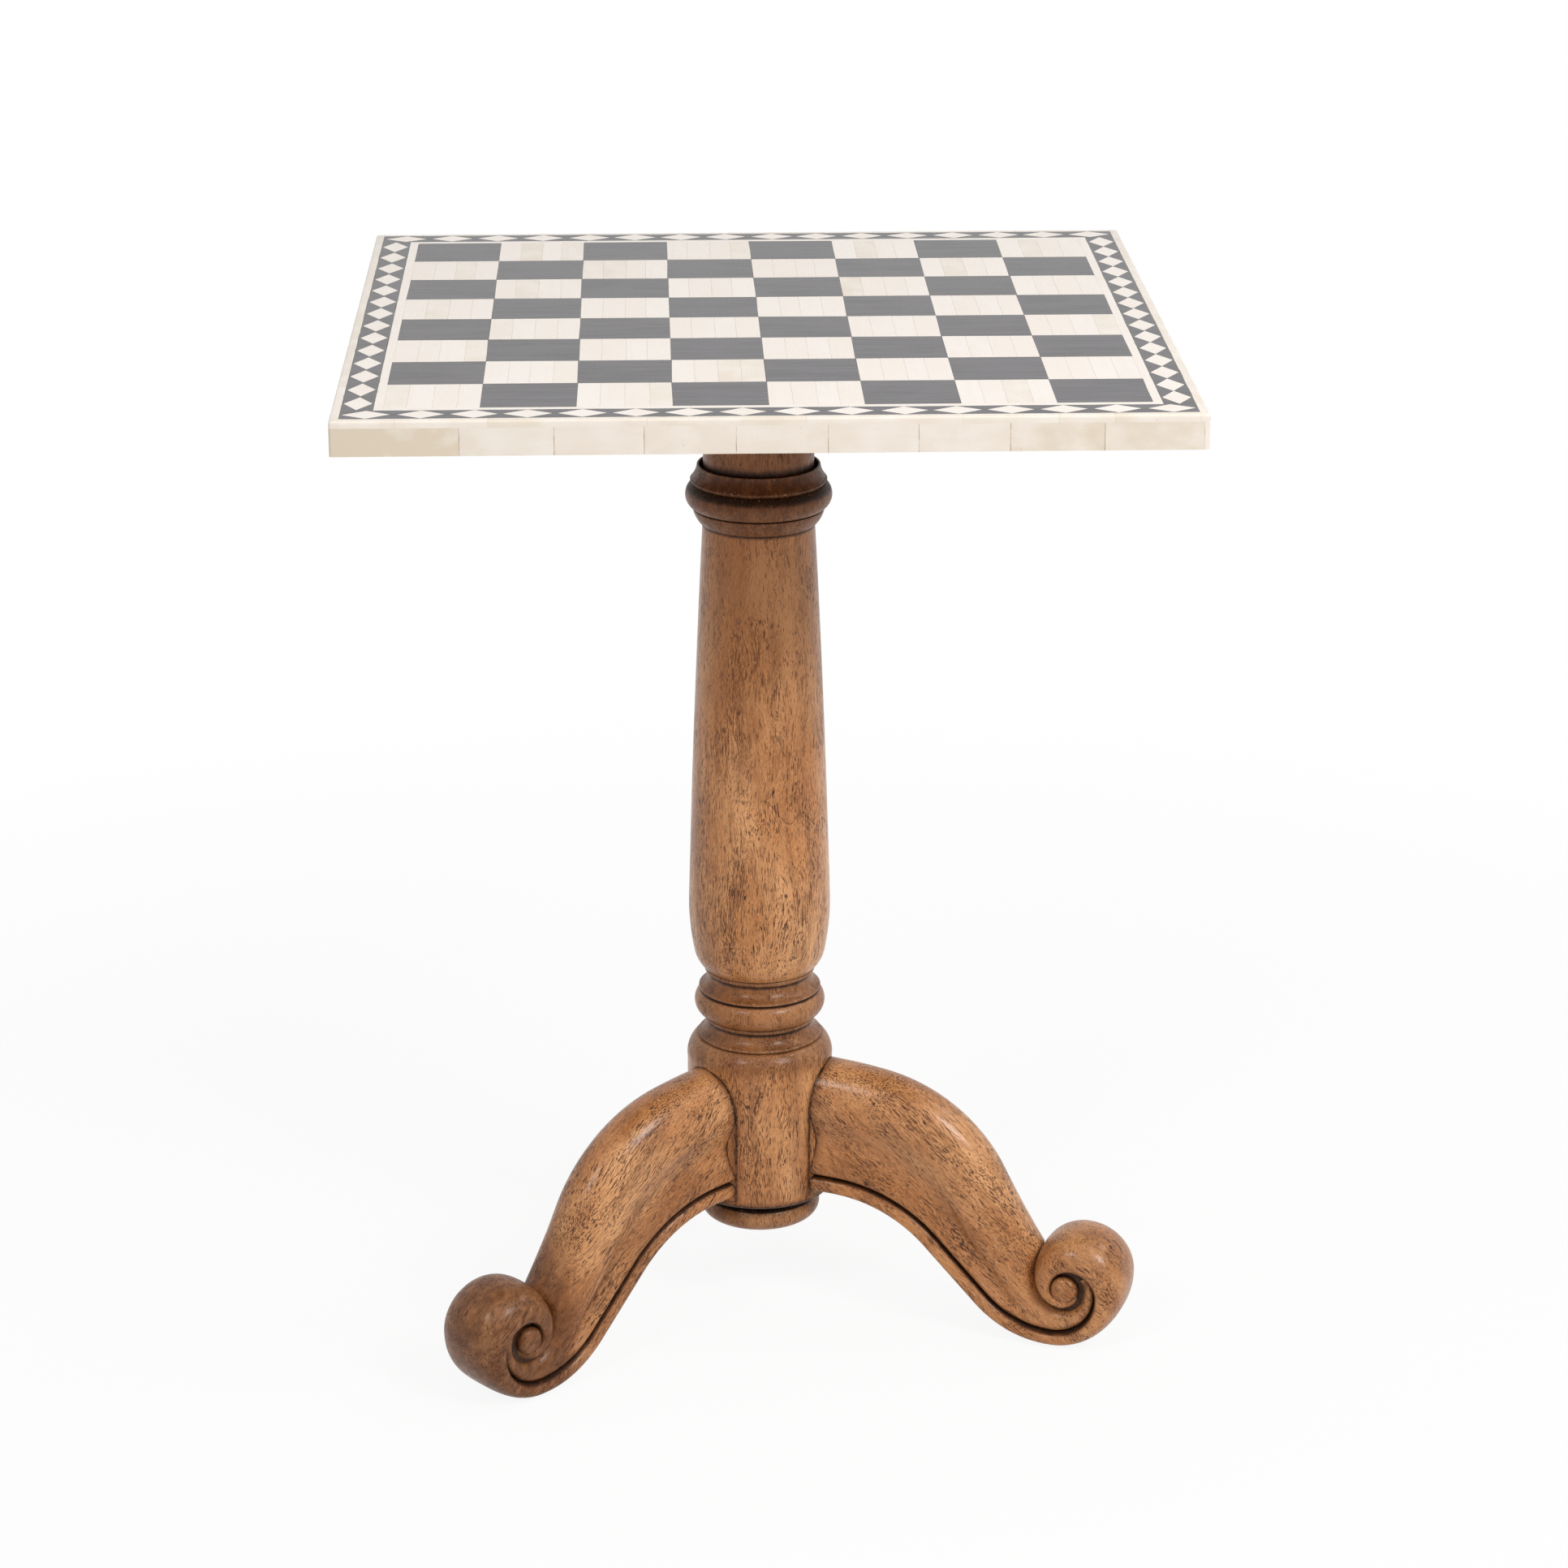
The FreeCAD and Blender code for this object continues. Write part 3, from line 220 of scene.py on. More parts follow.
def growth_line(f, uneven):
    """A dark wavy growth line on the front of the shaft, and a hairline crack up the collar."""
    x, y, z = f.split(f.place())
    turn = f.maths("ARCTAN2", x, 0 - y)
    wave = GROWTH_LINE_Z + (uneven - 0.5) * 3
    for rise, start, end in GROWTH_WAVES:
        wave = wave + rise * f.ramp(turn, start, end)
    near = (1 - f.ramp(f.size_of(z - wave), 0.25, 0.75)) * (0.4 + 0.9 * uneven)
    shown = f.ramp(turn, -0.1, 0.12) * (1 - f.ramp(turn, 0.8, 0.95))
    split = 1 - f.ramp(f.size_of(turn + COLLAR_CRACK), 0.003, 0.014)
    collar = f.ramp(z, COLLAR_FOOT, COLLAR_FOOT + 1) * (1 - f.ramp(z, COLLAR_HEAD - 1, COLLAR_HEAD))
    return f.held(f.most(near * shown, split * collar))


def brown_wood():
    """Stained hardwood under satin lacquer, with open pores, dark wax and painted shade in the hollows, and
    worn edges.
    """
    f = Finish.called("brown_lacquered_wood")
    straight = f.attribute("grain", "Vector")
    wax_and_shade = f.attribute("wax_and_shade")
    wear = f.attribute("wear")
    seam = f.size_of(f.attribute("seam"))
    along, across, deep = f.split(straight)
    _, _, level = f.split(f.place())
    sway = f.figure(straight, 0.014, 0.026)
    drift = f.figure(straight, 0.014, 0.026, (5.1, 9.7, 2.6))
    aside = across + (sway - 0.5) * GRAIN_SWAY
    inward = deep + (drift - 0.5) * GRAIN_SWAY
    grain = f.joined(along, aside, inward)

    cloud = f.figure(grain, 0.009, 0.024, detail=3)
    blotch = f.figure(grain, 0.022, 0.045, (7.3, 2.1, 4.4), detail=4, roughness=0.6)
    streak = f.figure(grain, 0.014, 0.34, detail=3)
    band = f.figure(grain, 0.007, 0.085, (9, 4, 6), detail=3)
    mottle = f.figure(grain, 0.12, 0.42, (1.7, 8.2, 3.3), detail=3, roughness=0.6)
    crowd = f.figure(grain, 0.02, 0.06, (3, 12, 9))

    # Fine marks follow a grain that is bent a little more.
    bent = f.joined(along, aside + (mottle - 0.5) * PORE_SWAY, inward)
    fibre = f.figure(bent, 0.2, 2.3, roughness=0.6)
    vessel = f.figure(bent, 0.115, 1.4, (2, 15, 5), roughness=0.6)
    pores = f.ramp(vessel + (crowd - 0.5) * 0.3, 0.57, 0.66)
    dashes = f.strokes(f.stretched(bent, 0.085, 1.15, (4, 7, 1)), 0.14 + 0.34 * crowd)
    stipple = f.figure(bent, 0.4, 1.25, (6, 2, 11), detail=3, roughness=0.75)
    specks = f.ramp(stipple, 0.52, 0.64) * (0.3 + 0.45 * f.ramp(crowd, 0.42, 0.6))
    growth = growth_line(f, f.figure(straight, 0.5, 0.8))
    pits = f.cells(f.stretched(grain, 0.06, 0.085)) + (fibre - 0.5) * 0.08
    dents = (1 - f.ramp(pits, 0.06, 0.09)) * f.ramp(crowd, 0.44, 0.52)

    # Wear, wax with painted shade, and the open seams between pieces.
    rubbed = f.held(wear * (0.3 + 0.9 * f.ramp(blotch, 0.3, 0.62)))
    flecks = f.ramp(f.figure(straight, 0.7, 0.8), 0.62, 0.72) * f.held(wear * 1.6)
    wax_and_shade_cover = f.held(wax_and_shade * (0.6 + 0.8 * f.figure(straight, 0.16, 0.24, detail=3)))
    uneven = f.figure(straight, 0.35, 0.5, (2, 6, 1))
    opened = 1 - f.ramp(seam + (uneven - 0.5) * 2.2, 0.25, 1.1)
    line = opened * (0.45 + 0.55 * f.ramp(mottle, 0.4, 0.56))

    colour = f.layered(
        (194, 129, 75),
        (f.ramp(cloud, 0.36, 0.66), (225, 165, 112)),
        (f.ramp(blotch, 0.48, 0.72) * 0.62, (144, 84, 36)),
        (f.ramp(band, 0.5, 0.68) * 0.46, (130, 80, 42)),
        (f.ramp(streak, 0.45, 0.72) * 0.42, (146, 88, 44)),
        (f.ramp(mottle, 0.48, 0.72) * 0.32, (202, 148, 100)),
        (f.ramp(fibre, 0.5, 0.72) * 0.45, (120, 72, 38)),
        ((1 - f.ramp(stipple, 0.34, 0.46)) * 0.45, (222, 170, 120)),
        (specks, (98, 56, 27)),
        (pores * 0.95, (86, 45, 16)),
        (dashes * 0.95, (72, 38, 15)),
        (growth * 0.7, (78, 44, 24)),
        (dents * 0.85, (52, 30, 19)),
        (f.ramp(level, AMBER_FROM, AMBER_FULL) * 0.32, (158, 90, 24)),
        (rubbed * 0.4, (204, 152, 110)),
        # Dark wax and painted shade: hollows, grooves, seams, the scrolls and the capital under the table
        # top.
        (f.held(wax_and_shade_cover * 1.55) * 0.88, (96, 51, 19)),
        (f.ramp(wax_and_shade_cover, 0.4, 1) * 0.94, (36, 20, 10)),
        (flecks * 0.5, (214, 170, 130)),
        (line * 0.9, (26, 17, 13)))

    height = (mottle * 0.4 + stipple * 0.4 + fibre * 0.12 - pores * 0.5 - dashes * 0.6 - growth * 0.4
              - dents * 1.3 - line * 1.4)
    gloss = 0.27 + 0.12 * mottle + 0.22 * f.most(pores, dashes) + 0.12 * wax_and_shade_cover
    return f.surface(height, 0.34, Base_Color=colour, Roughness=gloss, Specular_IOR_Level=0.22,
                     Coat_Weight=0.3 * (1 - wax_and_shade_cover), Coat_Roughness=0.2)


def bone():
    """Polished bone slips, each with its own tone, faint fibres and tan glue lines at the joints."""
    f = Finish.called("polished_bone")
    local = f.attribute("local", "Vector")
    half = f.attribute("half", "Vector")
    tint, age, seed = f.split(f.attribute("tone", "Vector"))
    own = f.moved(local, f.joined(seed * 91, seed * 57, seed * 33))
    cloud = f.figure(own, 0.05, 0.07, detail=3)
    fibre = f.figure(own, 0.06, 1.1, detail=3, distortion=0.2)
    vein = f.figure(own, 0.02, 0.28)
    speck = f.figure(own, 0.5, 0.9)
    local_x, local_y, _ = f.split(local)
    half_x, half_y, mark_strength = f.split(half)
    rim = f.maths("MINIMUM", half_x - f.size_of(local_x), half_y - f.size_of(local_y))
    broken = f.figure(own, 0.2, 0.2, detail=3)
    joint = (1 - f.ramp(rim, 0.08, 0.3)) * f.ramp(broken, 0.3, 0.6) * mark_strength

    colour = f.layered(
        (238, 230, 222),
        (f.held(tint + (cloud - 0.5) * 0.7), (235, 224, 213)),
        (f.ramp(vein, 0.5, 0.72) * 0.35, (235, 221, 209)),
        (f.ramp(fibre, 0.52, 0.78) * 0.2, (222, 208, 192)),
        (f.held(age * (0.45 + 0.9 * f.ramp(cloud, 0.3, 0.7))), (217, 203, 182)),
        (f.ramp(speck, 0.71, 0.78) * (0.1 + 0.6 * age), (160, 142, 116)),
        (joint, (158, 136, 112)))
    height = fibre * 0.3 + cloud * 0.4 - joint
    gloss = 0.2 + 0.12 * fibre
    return f.surface(height, 0.05, Base_Color=colour, Roughness=gloss, Specular_IOR_Level=0.14)


def dark_resin():
    """Charcoal resin rubbed down in one direction, with fine streaks and a few scuffs."""
    f = Finish.called("charcoal_resin")
    place = f.place()
    streak = f.figure(place, 0.02, 0.34, detail=4, roughness=0.6)
    cloud = f.figure(place, 0.03, 0.03, detail=3)
    scuff = f.noise(f.scaled(place, (0.12, 1.6, 1)))
    colour = f.layered(
        (70, 67, 70),
        (f.ramp(streak, 0.35, 0.68), (93, 90, 93)),
        (f.ramp(cloud, 0.4, 0.7) * 0.5, (92, 89, 91)),
        (f.ramp(scuff, 0.68, 0.76) * 0.5, (124, 121, 124)))
    gloss = 0.19 + 0.12 * streak
    return f.surface(streak, 0.02, Base_Color=colour, Roughness=gloss, Specular_IOR_Level=0.14)


def core_board():
    """Plain board under the inlay, with fine wood fibres."""
    f = Finish.called("core_board")
    place = f.place()
    fibre = f.figure(place, 0.05, 0.8, detail=4)
    fleck = f.figure(place, 0.3, 0.9)
    colour = f.layered(
        (150, 112, 76),
        (f.ramp(fibre, 0.35, 0.7), (174, 136, 96)),
        (f.ramp(fleck, 0.62, 0.72) * 0.5, (112, 80, 52)))
    return f.surface(fibre, 0.15, Base_Color=colour, Roughness=0.6 + 0.15 * fibre)


def dowel_wood():
    f = Finish.called("pale_dowel_wood")
    fibre = f.noise(f.scaled(f.place(), (0.9, 0.9, 0.15)), detail=3)
    colour = f.layered((202, 166, 120), (fibre, (176, 138, 94)))
    return f.surface(fibre, 0.1, Base_Color=colour, Roughness=0.55 + 0.1 * fibre)


def turned_steel():
    f = Finish.called("zinc_plated_steel")
    brush = f.noise(f.scaled(f.place(), (0.4, 0.4, 3)), detail=3)
    colour = f.layered((150, 150, 148), (brush, (186, 186, 182)))
    return f.surface(brush, 0.03, Base_Color=colour, Metallic=1, Roughness=0.28 + 0.2 * brush)


WOOD = brown_wood()
BONE = bone()
RESIN = dark_resin()
CORE = core_board()
DOWEL = dowel_wood()
STEEL = turned_steel()


# Making pieces.

def in_scene(name, data):
    made = bpy.data.objects.new(name, data)
    scene.collection.objects.link(made)
    return made


def mesh_object(name, bm, material):
    """Turn a mesh being built into an object with one material."""
    mesh = bpy.data.meshes.new(name)
    bm.to_mesh(mesh)
    bm.free()
    mesh.materials.append(material)
    return in_scene(name, mesh)


def finished(name, bm, material, nodes, merge=0, sharp=40):
    """Turn a mesh in millimetres into a piece that stands for its nodes."""
    if merge:
        bmesh.ops.remove_doubles(bm, verts=bm.verts, dist=merge)
    bmesh.ops.recalc_face_normals(bm, faces=bm.faces)
    bmesh.ops.scale(bm, vec=(MM, MM, MM), verts=bm.verts)
    piece = mesh_object(name, bm, material)
    piece.data.shade_smooth()
    piece.data.set_sharp_from_angle(angle=math.radians(sharp))
    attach(piece, "root")
    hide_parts(*nodes)


def eased(bm, verts, edges, offset, segments=4):
    """Bevel edges of a body and return the body's points."""
    made = bmesh.ops.bevel(bm, geom=list(edges), offset=offset, offset_type="OFFSET", segments=segments,
                           profile=0.5, affect="EDGES", material=-1)
    return set(made["verts"]) | {vert for vert in verts if vert.is_valid}


def closed_outline(bm, spots):
    """Points and edges of a new closed outline."""
    verts = [bm.verts.new(spot) for spot in spots]
    return verts, [bm.edges.new((verts[index - 1], verts[index])) for index in range(len(verts))]


def bar(bm, segments, radius, length):
    """Points of a new upright bar."""
    return bmesh.ops.create_cone(bm, cap_ends=True, segments=segments, radius1=radius, radius2=radius,
                                 depth=length)["verts"]


# Inlaid top.

# Half sides of the top's rings and heights, in millimetres.
HALF_TOP = 228.6
HALF_CORE = 225.8
HALF_BAND = 223.6
HALF_INNER = 206.6
HALF_BOARD = 201.6
SQUARE = 50.4
RANKS = 8
SLIPS = 4
TOP_Z = 610
INLAY_Z = 606
CORE_Z = 591
RESIN_Z = TOP_Z - 0.02
BONE_Z = TOP_Z - 0.06
JOINT_GAP = 0.01
# How strongly glue lines show.
SLIP_JOINT = 0.22
TILE_JOINT = 0.9
# Half size given to a block on a side where it shows no glue line.
FAR = 900
# How far dark squares are out of true and lie over the slips, and how far the slips' cuts wander.
SQUARE_WOBBLE = 0.4
SQUARE_OVERLAP = 0.12
SLIP_WANDER = 0.8
OLD_SLIP_CHANCE = 0.18
OLD_SLIP_AGES = (0.25, 0.5)
FRESH_SLIP_AGES = (0, 0.1)
SIDES = ("front", "back", "left", "right")

# Shares of a side's length, tile by tile.
EDGE_TILE_SHARES = {
    "front": (0.148, 0.108, 0.1025, 0.105, 0.105, 0.1035, 0.105, 0.108, 0.1145),
    "back": (0.111,) * 8 + (0.112,),
    "left": (0.13, 0.11, 0.10, 0.11, 0.12, 0.11, 0.10, 0.11, 0.11),
    "right": (0.10, 0.12, 0.11, 0.11, 0.11, 0.10, 0.12, 0.11, 0.12),
}
EDGE_TILE_ENDS = {
    "front": (-HALF_TOP, HALF_CORE),
    "back": (-HALF_CORE, HALF_CORE),
    "left": (-HALF_CORE, HALF_TOP),
    "right": (-HALF_TOP, HALF_TOP),
}
OUTER_BORDER_SHARES = {
    "front": (0.065, 0.108, 0.184, 0.184, 0.182, 0.112, 0.065, 0.10),
    "back": (0.12, 0.13) * 4,
    "left": (0.14, 0.17, 0.16, 0.17, 0.20, 0.16),
    "right": (0.18, 0.15, 0.17, 0.16, 0.19, 0.15),
}
INNER_BORDER_SHARES = {
    "front": (0.21, 0.19, 0.20, 0.22, 0.18),
    "back": (0.19, 0.21, 0.20, 0.19, 0.21),
    "left": (0.12, 0.15, 0.13, 0.14, 0.16, 0.14, 0.16),
    "right": (0.15, 0.13, 0.14, 0.15, 0.14, 0.15, 0.14),
}
# Number, length and width of the lozenges on each side.
LOZENGES = {
    "front": (16, 25, 16.2),
    "back": (16, 25, 16.2),
    "left": (14, 27, 15.2),
    "right": (15, 27, 15.2),
}
# How yellow each front edge tile has gone, from left to right.
FRONT_TILE_AGES = (0.98, 0.4, 0.3, 0.36, 0.36, 0.32, 0.3, 0.7, 0.62)


def inlay_mesh():
    """An empty mesh with the layers that the bone's finish reads."""
    bm = bmesh.new()
    for name in ("local", "half", "tone"):
        bm.verts.layers.float_vector.new(name)
    return bm


def mark(bm, verts, centre, along, half, tone):
    """Record on a block's points where they lie in the block, its half size and its tone."""
    layers = bm.verts.layers.float_vector
    for vert in verts:
        x, y, z = vert.co - centre
        vert[layers["local"]] = (y, -x, z) if along == "y" else (x, y, z)
        vert[layers["half"]] = half
        vert[layers["tone"]] = tone


def block(bm, low, high, along="x", tone=(0.3, 0, 0.5), ease=0.05, flanks=True,
          joint=SLIP_JOINT, wobble=0, grow=0, bare_end=0):
    """An inlay block with eased upper edges, whose corners may be cut a little out of true.

    Glue lines show at its ends, and on its flanks where asked for. A bare end, -1 or 1 along the block,
    lies on the outside of the top and carries none."""
    low = Vector(low)
    high = Vector(high)
    inset = Vector((JOINT_GAP - grow, JOINT_GAP - grow, 0))
    size = high - low - 2 * inset
    centre = (low + high) / 2
    verts = bmesh.ops.create_cube(bm, size=1)["verts"]
    bmesh.ops.scale(bm, vec=size, verts=verts)
    bmesh.ops.translate(bm, vec=centre, verts=verts)
    if wobble:
        for sign_x, sign_y in ((-1, -1), (-1, 1), (1, -1), (1, 1)):
            shift = Vector((stray(wobble), stray(wobble), 0))
            corner = [v for v in verts
                      if (v.co.x - centre.x) * sign_x > 0 and (v.co.y - centre.y) * sign_y > 0]
            bmesh.ops.translate(bm, vec=shift, verts=corner)
    if ease:
        rim = {edge for vert in verts for edge in vert.link_edges
               if all(end.co.z > centre.z for end in edge.verts)}
        verts = eased(bm, verts, rim, ease, segments=1)
    length, width = (size.y, size.x) if along == "y" else (size.x, size.y)
    half_length = length / 2 + FAR * abs(bare_end)
    half_width = width / 2 if flanks else FAR
    way = Vector((0, 1, 0)) if along == "y" else Vector((1, 0, 0))
    mark(bm, verts, centre + way * FAR * bare_end, along, (half_length, half_width, joint), tone)


def bone_tone(age, spread):
    """A slip's tint, age and own seed."""
    return (chance.uniform(0, spread), age, chance.random())


def make_board():
    """Dark squares laid a hair over the light slips, each a little out of true."""
    slip = SQUARE / SLIPS
    for rank in range(RANKS):
        low_y = HALF_BOARD - SQUARE * (rank + 1)
        dark = inlay_mesh()
        light = inlay_mesh()
        for file in range(RANKS):
            low_x = SQUARE * file - HALF_BOARD
            if (rank + file) % 2 == 0:
                block(dark, (low_x, low_y, INLAY_Z), (low_x + SQUARE, low_y + SQUARE, RESIN_Z),
                      wobble=SQUARE_WOBBLE, grow=SQUARE_OVERLAP)
                continue
            cuts = [low_x + slip * index + (stray(SLIP_WANDER) if 0 < index < SLIPS else 0)
                    for index in range(SLIPS + 1)]
            for left, right in zip(cuts, cuts[1:]):
                ages = OLD_SLIP_AGES if chance.random() < OLD_SLIP_CHANCE else FRESH_SLIP_AGES
                block(light, (left, low_y, INLAY_Z), (right, low_y + SQUARE, BONE_Z), along="y",
                      tone=bone_tone(chance.uniform(*ages), 0.8))
        row = f"rank_{rank + 1}"
        finished(f"{row}_resin_squares", dark, RESIN, [f"{row}_dark_squares"])
        finished(f"{row}_bone_squares", light, BONE, [f"{row}_light_slips"])


def run_corners(side, start, length, inner, outer, ends):
    """Plan corners of a block in a run along one side of the top."""
    if side in ("front", "back"):
        low_x = ends[0] + start
        low_y = -outer if side == "front" else inner
        return (low_x, low_y), (low_x + length, low_y + outer - inner)
    high_y = ends[1] - start
    low_x = -outer if side == "left" else inner
    return (low_x, high_y - length), (low_x + outer - inner, high_y)


def bone_row(side, names, shares, ends, depths, heights, tones, outside=True, **options):
    """Lay a row of bone blocks along one side of the top, between its two ends, as one piece."""
    bm = inlay_mesh()
    along = "x" if side in ("front", "back") else "y"
    first, last = (0, len(shares) - 1) if along == "x" else (len(shares) - 1, 0)
    total = sum(shares)
    start = 0
    for index, (share, tone) in enumerate(zip(shares, tones)):
        bare_end = (index == last and ends[1] == HALF_TOP) - (index == first and ends[0] == -HALF_TOP)
        length = (ends[1] - ends[0]) * share / total
        low, high = run_corners(side, start, length, *depths, ends)
        block(bm, (*low, heights[0]), (*high, heights[1]), along=along, tone=tone, flanks=False,
              bare_end=bare_end, **options)
        start += length
    if outside:
        round_rim(bm)
    name, node = names
    finished(f"{name}_{side}", bm, BONE, [f"{node}_{side}"])


def make_borders():
    """Inner and outer bone borders and the edge tiles, side by side."""
    for side in SIDES:
        long_side = side in ("front", "back")
        shares = INNER_BORDER_SHARES[side]
        reach = HALF_INNER if long_side else HALF_BOARD
        tones = [bone_tone(chance.uniform(0, 0.12), 0.3) for _ in shares]
        bone_row(side, ("inner_bone_border", "inner_border"), shares, (-reach, reach),
                 (HALF_BOARD, HALF_INNER), (INLAY_Z, BONE_Z), tones, outside=False)

        shares = OUTER_BORDER_SHARES[side]
        reach = HALF_BAND if long_side else HALF_TOP
        tones = [bone_tone(chance.uniform(0.3, 0.55), 0.4) for _ in shares]
        bone_row(side, ("outer_bone_border", "outer_border"), shares, (-reach, reach),
                 (HALF_BAND, HALF_TOP), (INLAY_Z, BONE_Z), tones, ease=0)

        shares = EDGE_TILE_SHARES[side]
        ages = FRONT_TILE_AGES if side == "front" else [chance.uniform(0.05, 0.6) for _ in shares]
        tones = [bone_tone(age, 0.6) for age in ages]
        bone_row(side, ("bone_edge_tiles", "edge_tiles"), shares, EDGE_TILE_ENDS[side],
                 (HALF_CORE, HALF_TOP), (CORE_Z, INLAY_Z), tones, ease=0, joint=TILE_JOINT)


RIM_ROUNDING = 1.4
RIM_Z = TOP_Z - 0.5


def round_rim(bm):
    """Round the corners of the top and the upper outer edges of its border."""
    def outer_sides(vert):
        return {axis for axis in (0, 1) if abs(vert.co[axis]) > HALF_TOP - 0.1}

    def on_corner(edge):
        return all(len(outer_sides(vert)) == 2 for vert in edge.verts)

    def on_rim(edge):
        first, last = edge.verts
        return min(first.co.z, last.co.z) > RIM_Z and outer_sides(first) & outer_sides(last)

    corners = [edge for edge in bm.edges if on_corner(edge)]
    if corners:
        eased(bm, (), corners, RIM_ROUNDING)
    rim = [edge for edge in bm.edges if on_rim(edge) or on_round(edge)]
    if rim:
        eased(bm, (), rim, RIM_ROUNDING)


def on_round(edge):
    """True on the short upper edges round a corner of the top."""
    return all(min(abs(vert.co.x), abs(vert.co.y)) > HALF_TOP - RIM_ROUNDING - 0.1
               and vert.co.z > RIM_Z for vert in edge.verts) and len(edge.link_faces) == 2


BAND_TURNS = {"front": 0, "right": 90, "back": 180, "left": 270}
BAND_STEPS = 40
BAND_WANDER = 0.3
# How lozenges vary: length, width, twist in degrees, and shift along and across the band.
LOZENGE_LENGTHS = (0.97, 1.02)
LOZENGE_WIDTHS = (0.97, 1.01)
LOZENGE_TWIST = 1.2
LOZENGE_SHIFT = (0.35, 0.2)


def make_bands():
    """Dark bands whose edges wander a little, with a row of bone lozenges let into each."""
    middle = (HALF_INNER + HALF_BAND) / 2
    for side in SIDES:
        number, long_axis, short_axis = LOZENGES[side]
        length = 2 * (HALF_BAND if side in ("front", "back") else HALF_INNER)
        turn = Matrix.Rotation(math.radians(BAND_TURNS[side]), 4, "Z")
        offset = turn @ Vector((0, -middle, 0))
        place = Matrix.Translation((offset.x, offset.y, INLAY_Z)) @ turn
        band = inlay_mesh()
        grid = bmesh.ops.create_grid(band, x_segments=BAND_STEPS, y_segments=1, size=0.5)["verts"]
        bmesh.ops.scale(band, vec=(length, HALF_BAND - HALF_INNER, 1), verts=grid)
        for vert in grid:
            if abs(vert.co.x) < length / 2 - 1:
                vert.co.y += stray(BAND_WANDER)
        sheet = bmesh.ops.extrude_face_region(band, geom=band.faces[:])["geom"]
        raised = [item for item in sheet if isinstance(item, bmesh.types.BMVert)]
        bmesh.ops.translate(band, vec=(0, 0, RESIN_Z - INLAY_Z), verts=raised)
        bmesh.ops.transform(band, matrix=place, verts=band.verts)
        finished(f"dark_band_{side}", band, RESIN, [f"diamond_band_{side}"])

        row = inlay_mesh()
        pitch = length / number
        for index in range(number):
            stone = bar(row, 4, 1, 1)
            half_length = long_axis / 2 * chance.uniform(*LOZENGE_LENGTHS)
            half_width = short_axis / 2 * chance.uniform(*LOZENGE_WIDTHS)
            bmesh.ops.scale(row, vec=(half_length, half_width, TOP_Z - INLAY_Z), verts=stone)
            twist = Matrix.Rotation(math.radians(stray(LOZENGE_TWIST)), 4, "Z")
            across = pitch * (index + 0.5) - length / 2 + stray(LOZENGE_SHIFT[0])
            seat = Matrix.Translation((across, stray(LOZENGE_SHIFT[1]), (TOP_Z - INLAY_Z) / 2))
            bmesh.ops.transform(row, matrix=seat @ twist, verts=stone)
            tone = bone_tone(chance.uniform(0, 0.15), 0.4)
            mark(row, stone, Vector((across, 0, 0)), "x", (FAR, FAR, 0), tone)
        bmesh.ops.transform(row, matrix=place, verts=row.verts)
        finished(f"bone_lozenges_{side}", row, BONE, [f"band_lozenges_{side}"])


# Turned column.

SPIN_STEPS = 180
# Outlines inside this radius are hidden, so they stay plain.
HIDDEN_RADIUS = 28
CORNER_EASE = 0.4
HOLLOW_REACH = 2.4
# Distance given to points that lie far from any open seam.
CLEAR = 9


def arc_through(start, via, end, step):
    """Points after the start along the arc through three points."""
    ax, ay = start
    bx, by = via
    cx, cy = end
    turn = 2 * (ax * (by - cy) + bx * (cy - ay) + cx * (ay - by))
    aa = ax * ax + ay * ay
    bb = bx * bx + by * by
    cc = cx * cx + cy * cy
    ux = (aa * (by - cy) + bb * (cy - ay) + cc * (ay - by)) / turn
    uy = (aa * (cx - bx) + bb * (ax - cx) + cc * (bx - ax)) / turn
    centre = Vector((ux, uy))
    spoke = Vector(start) - centre
    first = math.atan2(ay - uy, ax - ux)
    middle = (math.atan2(by - uy, bx - ux) - first) % math.tau
    last = (math.atan2(cy - uy, cx - ux) - first) % math.tau
    sweep = last if middle < last else last - math.tau
    count = max(4, round(abs(sweep) * spoke.length / step))
    return [centre + Matrix.Rotation(sweep * index / count, 2) @ spoke for index in range(1, count + 1)]


def profile_points(steps, fine):
    """Closed outline of a turned piece, with arcs followed, long lines divided and outer corners eased."""
    points = [Vector(steps[0])]
    corners = [True]
    for step in steps[1:] + steps[:1]:
        reach = (Vector(step[:2]) - points[-1]).length
        if len(step) == 4:
            added = arc_through(tuple(points[-1]), step[2:], step[:2], max(fine, min(2.5, reach / 28)))
        else:
            count = max(1, round(reach / 1.6)) if min(step[0], points[-1].x) > HIDDEN_RADIUS else 1
            added = [points[-1].lerp(Vector(step), index / count) for index in range(1, count + 1)]
        corners += [False] * (len(added) - 1) + [True]
        points += added
    points.pop()
    corners.pop()
    smoothed = []
    total = len(points)
    for index, point in enumerate(points):
        before = points[index - 1] - point
        after = points[(index + 1) % total] - point
        bend = math.pi - before.angle(after, math.pi)
        if not corners[index] or bend < 0.3 or point.x < HIDDEN_RADIUS:
            smoothed.append(point)
            continue
        cut = min(CORNER_EASE, before.length * 0.45, after.length * 0.45)
        first = point + before.normalized() * cut
        last = point + after.normalized() * cut
        smoothed += [first, (first + last) / 4 + point / 2, last]
    return smoothed


def hollows(points):
    """How hollow (positive) or proud (negative) the outline is near each point."""
    total = len(points)
    found = []
    for index, point in enumerate(points):
        ends = []
        for way in (-1, 1):
            step = index
            travelled = 0
            while travelled < HOLLOW_REACH:
                following = (step + way) % total
                travelled += (points[following] - points[step]).length
                step = following
            ends.append(points[step] - point)
        back, ahead = ends
        cross = back.x * ahead.y - back.y * ahead.x
        bend = math.pi - back.angle(ahead, math.pi)
        found.append(bend if cross > 0 else -bend)
    return found


